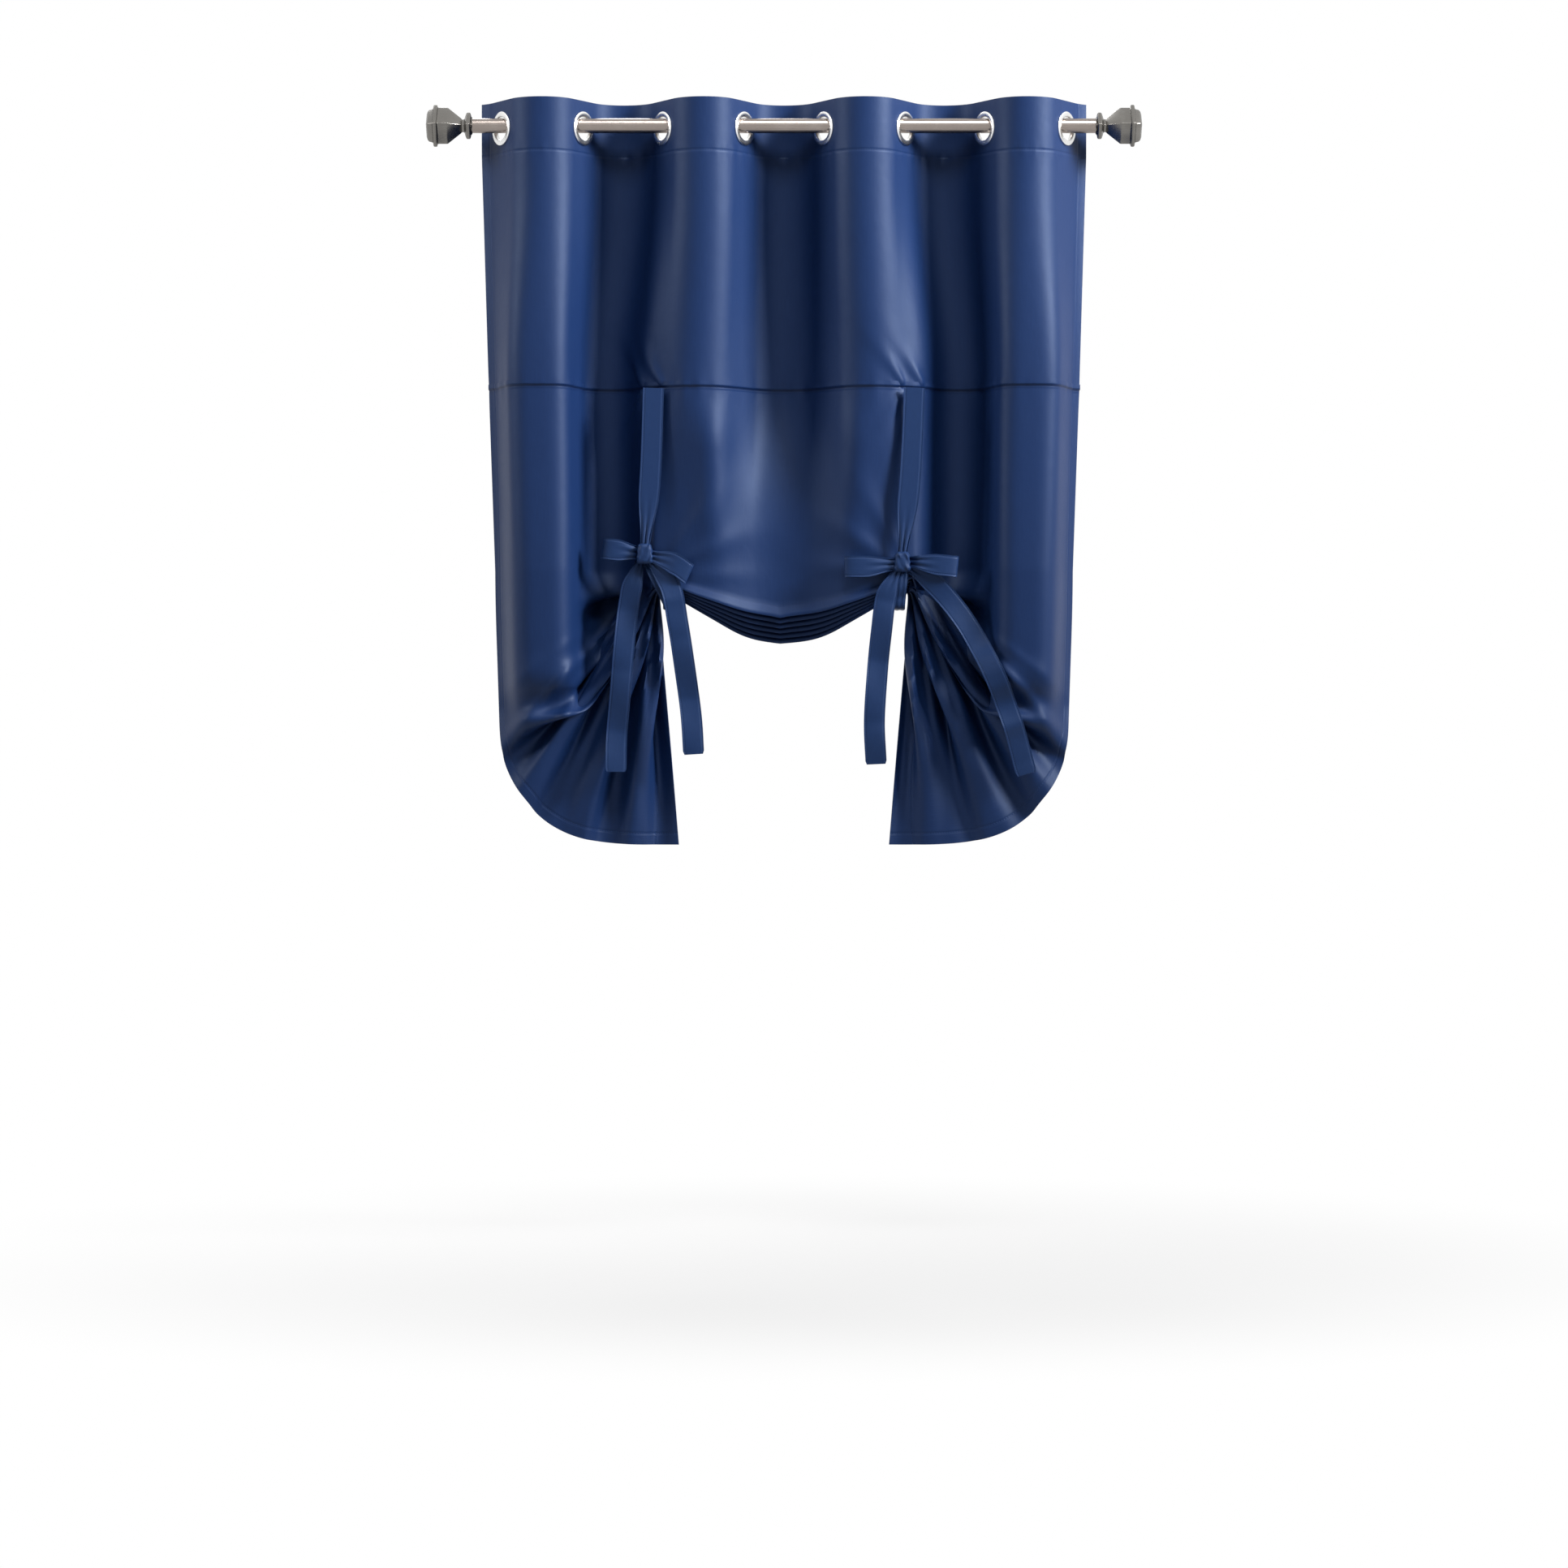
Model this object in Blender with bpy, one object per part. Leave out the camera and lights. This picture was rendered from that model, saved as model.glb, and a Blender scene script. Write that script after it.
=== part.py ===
# Tie up curtain: an eyelet curtain on a rod, drawn up by two pairs of ribbons tied in bows.
# Metres, +Z up, the front faces -Y. The origin is on the rod's axis at the middle of the rod.

import math

import bmesh
import bpy
import numpy as np
from mathutils import Matrix, Vector
from mathutils.bvhtree import BVHTree

# Cloth, as cut and sewn
PANEL_WIDTH = 1.422
PANEL_LENGTH = 1.600
UPPER_LENGTH = 0.4965  # top edge to the seam that holds the ribbons
CLOTH_THICKNESS = 0.0015
SEAM_GAP = 0.0003
HEADING_STAND = 0.043  # top edge above the rod's axis
HEADING_DEPTH = 0.091  # stiff hem that carries the eyelets

# Eyelets
EYELETS = 8
EYELET_END_MARGIN = 0.060  # side edge to the first eyelet
EYELET_BORE = 0.040
EYELET_RING = 0.0585
EYELET_RING_HEIGHT = 0.0032
EYELET_BARREL_WALL = 0.0012
EYELET_FLAT = 0.062  # flat run of cloth that each eyelet sits on
EYELET_SIDES = 16
EYELET_DOME = ((0.0, 0.6), (0.35, 1.0), (0.8, 0.7), (1.0, 0.0))  # shares of the ring's width and height
EYELET_BACK_DOME = ((0.75, 0.7), (0.1, 0.9))
EYELET_CRIMP = 0.6  # how far the barrel passes the cloth, as a share of the ring's height
FIT_GAP = 0.0003

# Rod and finials
ROD_DIAMETER = 0.0254
ROD_WALL = 0.0012
ROD_LENGTH = 1.074
ROD_SIDES = 24
FINIAL_LENGTH = 0.079
FINIAL_COLLAR = 0.0466  # corner to corner
FINIAL_COLLAR_LENGTH = 0.014
FINIAL_COLLAR_EDGES = ((0.35, 1.0), (0.75, 0.95))  # shares of the collar's length and width
FINIAL_NECK = 0.0232
FINIAL_NECK_LENGTH = 0.004
FINIAL_BODY = 0.0632
FINIAL_BODY_LENGTH = 0.018
FINIAL_FLANGE = 0.0732
FINIAL_FLANGE_SLOPE = 0.2
FINIAL_FLANGE_LENGTH = 0.007
FINIAL_CAP_LENGTH = 0.012
FINIAL_CAP_EDGES = ((0.2, 0.93), (0.65, 0.88))
FINIAL_END_SHARE = 0.62  # of the collar's and the body's width, at the two ends
FINIAL_SPIGOT_LENGTH = 0.022

# Hanging shape, for each half of the curtain
HUNG_HALF_WIDTH = 0.524  # at the rod
SEAM_HALF_WIDTH = 0.511
WAIST_HALF_WIDTH = 0.500  # at the height of the bows
TIE_FROM_EDGE = 0.445  # side edge of the cloth to the middle of a ribbon
TIE_HALF_SPAN = 0.224  # middle of the curtain to a ribbon, as it hangs
BUNDLE_DROP = 0.314  # seam to the middle of the gathers that a bow holds
BUNDLE_SINK = 0.022  # how much lower the hindmost gather is held
BUNDLE_SHIFT = 0.004
BUNDLE_DEPTH = 0.052
PLEATS = 6
SWAG_FIRST_SAG = 0.056  # front gather, lower in the middle than at the bows
SWAG_LAST_SAG = 0.112  # hindmost gather
SWAG_FOLD = 0.6  # share of a fold's height kept in the middle of the swag
SWAG_END_FOLD = 0.3  # the same beside a bow
TAIL_INNER_HALF_SPAN = 0.182  # middle of the curtain to the tail's inner corner
TAIL_BOTTOM = 1.2404  # rod's axis to the tail's lowest edge
TAIL_SQUARENESS = 3.8  # exponent of the tail's rounded outline
SIDE_TAPER = 0.022  # how much the hanging side draws in below the waist
TAIL_BEND = 0.022  # reach of the turn out of the bow into the tail
TURN_HALF_SPAN = 0.352  # middle of the curtain to where the hanging side turns back to the bow
TAUT_FROM = 0.24  # share of the gathered cloth that hangs before it is drawn tight
TAUT_TO = 0.56
WAVE_FROM = 0.18  # share of the gathered cloth over which the wave across it dies out
WAVE_TO = 0.54
LEAST_FOLD = 0.75  # depth kept by the folds of the tail
HEM_CALM = 0.35  # how much of that is lost at the hem
TAIL_CRUSH = 0.8  # how much of a fold is flattened beside the bow
TAIL_OPEN_ANGLE = math.radians(50)
BUNDLE_ANGLE = math.radians(158)
BELLY_CALM = 0.65  # share of the wave that is drawn out between the bows
BELLY_RATE = 1.3
OPENING_RATE = 1.15  # how soon the folds open and soften on the way out to the side edge
SOFTENING_RATE = 1.3
WAIST_BLEND = 0.06  # share of the gathered cloth that still hangs straight from the waist
LARGEST_ADVANCE = 0.9
LARGEST_NEED = 1.1
BUNDLE_SOFTNESS = 0.09  # how round the folds are in a bow
TAIL_SOFTNESS = 0.45  # the same at the hem
SEWN_EASE = 0.5  # share of the wave lost where a ribbon is sewn
DENT_DEPTH = 0.55  # dent down the outer fold
DENT_SHARE = 0.2  # its reach, in eyelet pitches

# Ribbons
RIBBON_WIDTH = 0.036
RIBBON_THICKNESS = 0.0012
RIBBON_CLEARANCE = 0.0009
SEAM_HOLD = 0.002  # ribbon's top edge below the seam
BAND_WIDTH = 0.024  # ribbon crushed where it passes under the gathers
BAND_INSET = 0.028  # middle of the band, inwards from the ribbon above it
BAND_TURN = 0.006
KNOT_SIZE = (0.029, 0.022, 0.035)
PINCH = 0.45  # share of its width that a ribbon keeps where it leaves a knot
PINCH_LENGTH = 0.05
STRAP_PINCH_LENGTH = 0.10
CORE_DEPTH = 0.005
CORE_SHARE = 0.85  # of the knot's width and height
LOOP_GIRTH = 0.022
LOOP_ROOT = 0.3  # share of its girth that a loop has at the knot
LOOP_PINCH = 0.55  # share of its width that a loop has at the knot

# Bows. The knot is placed out and up from the middle of the gathers, and the rest across and up from the knot.
BOWS = {
    "left": {
        "side": -1,
        "knot": (0.015, 0.027),
        "front_loop": ((0.007, -0.003), (0.046, -0.014), (0.077, -0.035)),
        "back_loop": ((-0.007, 0.001), (-0.041, 0.006), (-0.073, 0.010)),
        "front_tail": ((0.007, -0.008), (0.043, -0.053), (0.057, -0.120), (0.070, -0.204), (0.080, -0.281),
                       (0.084, -0.344)),
        "back_tail": ((-0.008, -0.011), (-0.024, -0.064), (-0.035, -0.148), (-0.043, -0.246), (-0.049, -0.316),
                      (-0.050, -0.374)),
    },
    "right": {
        "side": 1,
        "knot": (-0.021, 0.013),
        "front_loop": ((-0.010, -0.004), (-0.057, -0.008), (-0.099, -0.008)),
        "back_loop": ((0.011, 0.001), (0.055, -0.004), (0.095, -0.008)),
        "front_tail": ((-0.007, -0.014), (-0.027, -0.057), (-0.036, -0.120), (-0.043, -0.190), (-0.048, -0.274),
                       (-0.045, -0.347)),
        "back_tail": ((0.010, -0.008), (0.057, -0.039), (0.111, -0.106), (0.155, -0.190), (0.190, -0.281),
                      (0.214, -0.364)),
    },
}

# Finish of each kind of piece: colour, roughness, metallic
FINISHES = {
    "navy_satin": ((0.016, 0.035, 0.115, 1.0), 0.42, 0.0),
    "navy_ribbon": ((0.018, 0.040, 0.125, 1.0), 0.38, 0.0),
    "brushed_nickel": ((0.55, 0.52, 0.48, 1.0), 0.32, 1.0),
    "satin_silver": ((0.78, 0.78, 0.80, 1.0), 0.25, 1.0),
}

HALF_WIDTH = PANEL_WIDTH / 2
EYELET_PITCH = (PANEL_WIDTH - 2 * EYELET_END_MARGIN) / (EYELETS - 1)
TIE_COLUMN = HALF_WIDTH - TIE_FROM_EDGE
HEADING_DROP = HEADING_DEPTH - HEADING_STAND
SEAM_DROP = UPPER_LENGTH - HEADING_STAND
WAIST_DROP = SEAM_DROP + BUNDLE_DROP
GATHERED_LENGTH = PANEL_LENGTH - UPPER_LENGTH - BUNDLE_DROP
PLEAT_LENGTH = GATHERED_LENGTH / PLEATS


def smooth(value):
    value = np.clip(value, 0.0, 1.0)
    return value * value * (3 - 2 * value)


def running_sum(values, steps):
    """Trapezium sum along the last axis, starting at zero."""
    pieces = (values[..., 1:] + values[..., :-1]) / 2 * steps
    return np.concatenate([np.zeros(values.shape[:-1] + (1,)), np.cumsum(pieces, axis=-1)], axis=-1)


def wave(across):
    """Turn of the cloth, -1 towards the front to 1 towards the back, with a flat run at each eyelet."""
    gain = 1 / (1 - EYELET_FLAT / EYELET_PITCH)
    triangle = 2 / math.pi * np.arcsin(np.sin(math.pi * across / EYELET_PITCH))
    return np.clip(-gain * triangle, -1, 1)


def loose_wave(across):
    """The same wave below the heading, eased where the ribbon is sewn and dented on the outer fold."""
    ease = 1 - SEWN_EASE * np.exp(-(((across - TIE_COLUMN) / RIBBON_WIDTH) ** 2))
    dent = (across / EYELET_PITCH - 3) / DENT_SHARE
    return wave(across) * ease - DENT_DEPTH * dent * np.exp(-dent * dent)


def swing_for(turn, share, steps):
    """Largest angle of a wave that shortens the cloth to the given share of its length."""
    low, high = np.zeros_like(share), np.full_like(share, 2.2)
    for _ in range(30):
        middle = (low + high) / 2
        length = running_sum(np.cos(middle[..., None] * turn), steps)[..., -1]
        longer = length / steps.sum() > share
        low = np.where(longer, middle, low)
        high = np.where(longer, high, middle)
    return (low + high) / 2


def hung_rows(places, drop):
    """Place across and depth of each point of level rows of cloth, for half of the curtain."""
    across = np.sort(np.append(np.linspace(0, HALF_WIDTH, 721), TIE_COLUMN))
    steps = np.diff(across)
    inner = across <= TIE_COLUMN + 1e-9
    outer = across >= TIE_COLUMN - 1e-9
    ease = smooth((drop - HEADING_DROP) / (SEAM_DROP - HEADING_DROP))[:, None]
    turn = (1 - ease) * wave(across) + ease * loose_wave(across)
    edge = np.interp(drop, [HEADING_DROP, SEAM_DROP, WAIST_DROP],
                     [HUNG_HALF_WIDTH, SEAM_HALF_WIDTH, WAIST_HALF_WIDTH])
    level = swing_for(turn, edge / HALF_WIDTH, steps)
    level_tie = running_sum(np.cos(level[:, None] * turn), steps)[:, inner][:, -1]
    tie = level_tie + (TIE_HALF_SPAN - level_tie) * ease[:, 0]
    inner_swing = swing_for(turn[:, inner], tie / TIE_COLUMN, steps[: inner.sum() - 1])
    outer_swing = swing_for(turn[:, outer], (edge - tie) / TIE_FROM_EDGE, steps[inner.sum() - 1 :])
    blend = smooth((across - TIE_COLUMN) / RIBBON_WIDTH + 0.5)
    swing = inner_swing[:, None] * (1 - blend) + outer_swing[:, None] * blend
    reach = running_sum(np.cos(swing * turn), steps)
    depth = running_sum(np.sin(swing * turn), steps)
    first_eyelet = np.array([np.interp(EYELET_PITCH / 2, across, row) for row in depth])
    depth = depth - first_eyelet[:, None]
    calm = BELLY_CALM * smooth((drop - SEAM_DROP) / BUNDLE_DROP * BELLY_RATE)[:, None]
    tie_depth = depth[:, inner][:, -1:]
    depth = np.where(across <= TIE_COLUMN, tie_depth + (depth - tie_depth) * (1 - calm), depth)
    reach_tie = reach[:, inner][:, -1:]
    inside = reach * tie[:, None] / reach_tie
    outside = tie[:, None] + (reach - reach_tie) * ((edge - tie)[:, None] / (reach[:, -1:] - reach_tie))
    reach = np.where(across <= TIE_COLUMN, inside, outside)
    x = np.array([np.interp(places, across, row) for row in reach])
    y = np.array([np.interp(places, across, row) for row in depth])
    return x, y


def tail_outline(share):
    """Points of a tail's outline for shares of its cloth, with most of the slack near the inner corner."""
    turn = np.linspace(0, math.pi / 2, 400)
    half_width = WAIST_HALF_WIDTH - TAIL_INNER_HALF_SPAN
    x = TAIL_INNER_HALF_SPAN + half_width * np.abs(np.cos(turn)) ** (2 / TAIL_SQUARENESS)
    z = -WAIST_DROP - (TAIL_BOTTOM - WAIST_DROP) * np.abs(np.sin(turn)) ** (2 / TAIL_SQUARENESS)
    length = np.concatenate([[0], np.cumsum(np.hypot(np.diff(x), np.diff(z)))])
    slack = GATHERED_LENGTH / length[-1] - 1
    walked = share * (1 + slack - slack * share) * length[-1]
    return np.interp(walked, length, x), np.interp(walked, length, z)


def pleat_section(advance, step_back, angle, softness, samples):
    """Side view of the pleats for one column: cloth used, way along and depth, from the first leg."""
    share = math.hypot(advance, step_back)
    back = (1 - share**2) / (2 * (1 - advance * math.cos(angle) - step_back * math.sin(angle)))
    front_angle = math.atan2(step_back - back * math.sin(angle), advance - back * math.cos(angle))
    unit = np.linspace(0, PLEATS, samples)
    phase = unit % 1.0
    fold = smooth((phase - 0.25) / softness + 0.5) - smooth((phase - 0.75) / softness + 0.5)
    turn = front_angle + (angle - front_angle) * fold
    used = np.where(np.abs(phase - 0.5) < 0.25, 2 * back, 2 * (1 - back)) * PLEAT_LENGTH
    steps = np.diff(unit)
    cloth = running_sum(used, steps)
    cloth = cloth * (GATHERED_LENGTH / cloth[-1])
    along = running_sum(np.cos(turn) * used, steps)
    depth = running_sum(np.sin(turn) * used, steps)
    part = cloth / cloth[-1]
    return part, along - along[-1] * part, depth - depth[-1] * part


def eased(values, step, odd):
    """Values smoothed along rows of cloth, which are mirrored at the middle and run on at the edge."""
    count = int(3 * TAIL_BEND / step)
    before = values[:, count:0:-1] * (-1 if odd else 1)
    after = 2 * values[:, -1:] - values[:, -2 : -count - 2 : -1]
    padded = np.concatenate([before, values, after], axis=1)
    weight = np.exp(-((np.arange(-count, count + 1) * step / TAIL_BEND) ** 2))
    weight /= weight.sum()
    return np.stack([np.convolve(row, weight, mode="valid") for row in padded])


def tautness(part):
    return smooth((part - TAUT_FROM) / (TAUT_TO - TAUT_FROM))


def base_rows(parts):
    """Middle line of each gathered row: the swag, through the bow, and out to the side edge of the tail."""
    across = np.linspace(0, HALF_WIDTH, 721)
    waist_x, waist_y = hung_rows(across, np.array([WAIST_DROP]))
    x = np.zeros((len(parts), len(across)))
    z = np.zeros_like(x)
    inner = across <= TIE_COLUMN
    rise = 1 - (across[inner] / TIE_COLUMN) ** 2
    held = np.exp(-(((across[inner] - TIE_COLUMN) / RIBBON_WIDTH) ** 2))
    out_share = (across[~inner] - TIE_COLUMN) / TIE_FROM_EDGE
    turn_share = np.interp(TURN_HALF_SPAN, waist_x[0, ~inner], out_share)
    to_turn = np.clip(out_share / turn_share, 0, 1)
    edge_x, edge_z = tail_outline(parts)
    for row, part in enumerate(parts):
        knot_x, knot_z = TIE_HALF_SPAN - BUNDLE_SHIFT * part, -WAIST_DROP - BUNDLE_SINK * part
        sag = SWAG_FIRST_SAG + (SWAG_LAST_SAG - SWAG_FIRST_SAG) * part
        x[row, inner] = waist_x[0, inner] * (knot_x / TIE_HALF_SPAN)
        z[row, inner] = -WAIST_DROP - BUNDLE_SINK * part * held - sag * rise
        turn_z = -WAIST_DROP - GATHERED_LENGTH * part
        drawn_x = knot_x + (TURN_HALF_SPAN - knot_x) * to_turn
        hung_x = np.where(out_share < turn_share, drawn_x, waist_x[0, ~inner])
        hung_z = knot_z + (turn_z - knot_z) * to_turn
        near = 1 - smooth(part / WAIST_BLEND)
        hung_x = hung_x * (1 - near) + waist_x[0, ~inner] * near
        hung_x = hung_x * (1 - SIDE_TAPER * out_share * smooth(part / TAUT_TO))
        taut = tautness(part)
        x[row, ~inner] = hung_x * (1 - taut) + (knot_x + (edge_x[row] - knot_x) * out_share) * taut
        z[row, ~inner] = hung_z * (1 - taut) + (knot_z + (edge_z[row] - knot_z) * out_share) * taut
    return across, eased(x, across[1], True), eased(z, across[1], False), waist_y[0]


def gathered_half(across, samples):
    """Points of the pleated cloth below the waist, for each column of half of the curtain."""
    parts = np.linspace(0, 1, samples)
    fine, base_x, base_z, waist_y = base_rows(parts)
    tie_y = np.interp(TIE_COLUMN, fine, waist_y)
    run_x, run_z = np.gradient(base_x, axis=1), np.gradient(base_z, axis=1)
    run = np.hypot(run_x, run_z)
    down_x, down_z = run_z / run, -run_x / run
    stride = np.hypot(np.gradient(base_x, axis=0), np.gradient(base_z, axis=0)) * (samples - 1) / GATHERED_LENGTH
    points = np.zeros((samples, len(across), 3))
    for column, place in enumerate(across):
        tail = max(0.0, place - TIE_COLUMN) / TIE_FROM_EDGE
        x, z, dir_x, dir_z, local = (np.array([np.interp(place, fine, row) for row in grid])
                                     for grid in (base_x, base_z, down_x, down_z, stride))
        advance = min(np.hypot(np.diff(x), np.diff(z)).sum() / GATHERED_LENGTH, LARGEST_ADVANCE)
        angle = BUNDLE_ANGLE + (TAIL_OPEN_ANGLE - BUNDLE_ANGLE) * smooth(tail * OPENING_RATE)
        softness = BUNDLE_SOFTNESS + (TAIL_SOFTNESS - BUNDLE_SOFTNESS) * smooth(tail * SOFTENING_RATE)
        part, along, depth = pleat_section(advance, BUNDLE_DEPTH / GATHERED_LENGTH, angle, softness, samples)
        if tail > 0:
            need = fold_need(local, advance, parts) * (1 - HEM_CALM * tail**3)
            fold = np.interp(part, parts, need)
            bend = math.exp(-(((place - TIE_COLUMN) / (4 * TAIL_BEND)) ** 2))
            crush = 1 - TAIL_CRUSH * bend * np.clip(np.interp(part, parts, -dir_x), 0, 1)
            wave_left = 1 - smooth((part - WAVE_FROM) / (WAVE_TO - WAVE_FROM))
        else:
            fold, wave_left = 1.0, 1.0
            crush = SWAG_END_FOLD + (SWAG_FOLD - SWAG_END_FOLD) * (1 - (place / TIE_COLUMN) ** 2)
        along = np.where(along > 0, along * crush, along) * fold
        column_y = np.interp(place, fine, waist_y)
        points[:, column, 0] = np.interp(part, parts, x) + along * np.interp(part, parts, dir_x)
        points[:, column, 1] = tie_y + (column_y - tie_y) * wave_left + BUNDLE_DEPTH * part + depth * fold
        points[:, column, 2] = np.interp(part, parts, z) + along * np.interp(part, parts, dir_z)
    return points


def fold_need(stride, advance, parts):
    """How deep the folds of a tail are from row to row, from how much closer the rows lie than the cloth is long."""
    need = np.sqrt(np.clip(1 - stride**2, 0, 1)) / math.sqrt(1 - advance**2)
    reach = np.ones(2 * (len(parts) // 16) + 1)
    padded = np.pad(need, len(reach) // 2, mode="edge")
    need = np.clip(np.convolve(padded, reach / reach.sum(), mode="valid"), 0, LARGEST_NEED)
    return np.maximum(need, LEAST_FOLD * tautness(parts))


def heading_columns():
    """Distances from the middle of the cloth of the heading's columns, with each eyelet on a flat run."""
    marks = [0.0, HALF_WIDTH]
    for number in range(EYELETS // 2):
        eyelet = (number + 0.5) * EYELET_PITCH
        bend = EYELET_PITCH - EYELET_FLAT
        marks += [eyelet - EYELET_FLAT / 2, eyelet, eyelet + EYELET_FLAT / 2]
        marks += [eyelet + EYELET_FLAT / 2 + bend * share for share in (0.25, 0.5, 0.75)]
    marks.append(EYELET_PITCH / 2 - EYELET_FLAT / 2 - (EYELET_PITCH - EYELET_FLAT) * 0.25)
    return np.array(sorted(value for value in marks if value <= HALF_WIDTH))


def gathered_columns():
    """The same columns, with closer ones where a bow gathers the cloth."""
    near_tie = TIE_COLUMN + np.array([-0.6, 0.0, 0.5, 1.1]) * RIBBON_WIDTH
    kept = [value for value in heading_columns() if np.abs(near_tie - value).min() > RIBBON_WIDTH * 0.28]
    return np.sort(np.concatenate([kept, near_tie]))


def both_halves(points):
    """Mirrors a half grid, whose first column is the middle, into a whole one."""
    left = points[:, :0:-1].copy()
    left[..., 0] *= -1
    return np.concatenate([left, points], axis=1)


def upper_grid(across):
    below = np.linspace(HEADING_DROP, SEAM_DROP, 6)
    drops = np.concatenate([[-HEADING_STAND], below])
    x, y = hung_rows(across, np.maximum(drops, 0))
    z = np.broadcast_to(-drops[:, None], x.shape).copy()
    z[-1] += SEAM_GAP / 2
    return both_halves(np.stack([x, y, z], axis=-1))


def lower_grid(across, front_rows, samples, rows):
    """The lower cloth: rows from the seam to the waist, then chosen rows of the pleats."""
    drops = SEAM_DROP + np.linspace(0, BUNDLE_DROP, front_rows, endpoint=False)
    x, y = hung_rows(across, drops)
    z = np.broadcast_to(-drops[:, None], x.shape).copy()
    z[0] -= SEAM_GAP / 2
    front = np.stack([x, y, z], axis=-1)
    pleats = gathered_half(across, samples)[rows]
    joined = np.concatenate([front, pleats], axis=0)
    share = (drops - SEAM_DROP)[:, None] / BUNDLE_DROP
    start = pleats[0][None]
    joined[:front_rows, :, 2] += (start[..., 2] + WAIST_DROP) * share**2
    joined[:front_rows, :, 0] += (start[..., 0] - hung_rows(across, np.array([WAIST_DROP]))[0]) * share**3
    return both_halves(joined)


def grid_normals(points):
    down = np.gradient(points, axis=0)
    side = np.gradient(points, axis=1)
    normal = np.cross(side, down)
    return normal / np.maximum(np.linalg.norm(normal, axis=-1, keepdims=True), 1e-12)


def sheet_mesh(name, points, thickness):
    """Closed sheet of even thickness on a grid of points."""
    rows, columns = points.shape[:2]
    offset = grid_normals(points) * thickness / 2
    vertices = np.concatenate([(points + offset).reshape(-1, 3), (points - offset).reshape(-1, 3)])
    back = rows * columns
    faces = []
    for row in range(rows - 1):
        for column in range(columns - 1):
            a = row * columns + column
            b, c, d = a + 1, a + columns + 1, a + columns
            faces.append((a, b, c, d))
            faces.append((a + back, d + back, c + back, b + back))
    rim = [column for column in range(columns)]
    rim += [row * columns + columns - 1 for row in range(1, rows)]
    rim += [(rows - 1) * columns + column for column in range(columns - 2, -1, -1)]
    rim += [row * columns for row in range(rows - 2, 0, -1)]
    for here, there in zip(rim, rim[1:] + rim[:1]):
        faces.append((here, here + back, there + back, there))
    mesh = bpy.data.meshes.new(name)
    mesh.from_pydata([tuple(vertex) for vertex in vertices], [], faces)
    clean = bmesh.new()
    clean.from_mesh(mesh)
    bmesh.ops.recalc_face_normals(clean, faces=clean.faces)
    clean.to_mesh(mesh)
    clean.free()
    return mesh


def finish_material(finish):
    material = bpy.data.materials.get(finish)
    if material is None:
        colour, roughness, metallic = FINISHES[finish]
        material = bpy.data.materials.new(finish)
        material.use_nodes = True
        shader = material.node_tree.nodes["Principled BSDF"]
        shader.inputs["Base Color"].default_value = colour
        shader.inputs["Roughness"].default_value = roughness
        shader.inputs["Metallic"].default_value = metallic
        material.diffuse_color = colour
    return material


def add_object(name, mesh, finish, smooth_angle=None):
    if smooth_angle is not None:
        mesh.shade_smooth()
        mesh.set_sharp_from_angle(angle=smooth_angle)
    mesh.materials.append(finish_material(finish))
    item = bpy.data.objects.new(name, mesh)
    bpy.context.collection.objects.link(item)
    return item


def hide_as_tool(item):
    item.hide_render = True
    item.display_type = "WIRE"
    return item


def turned_mesh(name, profile, sides, start=0.0):
    """Ring turned about Z from a closed outline of (radius, height) points."""
    mesh = bpy.data.meshes.new(name)
    count = len(profile)
    vertices, faces = [], []
    for turn in range(sides):
        angle = start + 2 * math.pi * turn / sides
        vertices += [(r * math.cos(angle), r * math.sin(angle), h) for r, h in profile]
    for turn in range(sides):
        here, there = turn * count, (turn + 1) % sides * count
        for k in range(count):
            n = (k + 1) % count
            faces.append((here + k, there + k, there + n, here + n))
    mesh.from_pydata(vertices, [], faces)
    clean = bmesh.new()
    clean.from_mesh(mesh)
    bmesh.ops.recalc_face_normals(clean, faces=clean.faces)
    clean.to_mesh(mesh)
    clean.free()
    return mesh


def eyelet_drop(front):
    """How far the slanted rings hang below the rod's axis, with the rod touching their bores."""
    bore = EYELET_BORE / 2 * math.cos(math.pi / EYELET_SIDES)
    rod = ROD_DIAMETER / 2
    slant = abs(front.x)
    crown = CLOTH_THICKNESS / 2 + FIT_GAP + EYELET_RING_HEIGHT
    across = np.linspace(-bore, bore, 400)[1:-1]
    lowest = bore
    for shift in (-crown, crown):
        place = (across - shift * abs(front.y) / slant) / (rod / slant)
        inside = np.abs(place) < 1
        room = np.sqrt(bore**2 - across[inside] ** 2) - rod * np.sqrt(1 - place[inside] ** 2)
        lowest = min(lowest, room.min())
    return lowest - FIT_GAP


def eyelet_places():
    """Place of each eyelet and the direction that its front faces."""
    places = []
    for number in range(EYELETS):
        along = EYELET_END_MARGIN + number * EYELET_PITCH - HALF_WIDTH
        side = math.copysign(1, along)
        near = [abs(along) - EYELET_FLAT / 4, abs(along), abs(along) + EYELET_FLAT / 4]
        px, py = (row[0] for row in hung_rows(near, np.array([0.0])))
        run = Vector((side * (px[2] - px[0]), py[2] - py[0], 0)).normalized()
        front = Vector((run.y, -run.x, 0)) * side
        places.append((Vector((side * px[1], py[1], -eyelet_drop(front))), front))
    return places


def facing(place, front):
    """Matrix that stands a ring up at a place, with its +Z towards the front."""
    side = Vector((0, 0, 1)).cross(front)
    turn = Matrix((side, front.cross(side), front)).transposed()
    return Matrix.Translation(place) @ turn.to_4x4()


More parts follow.
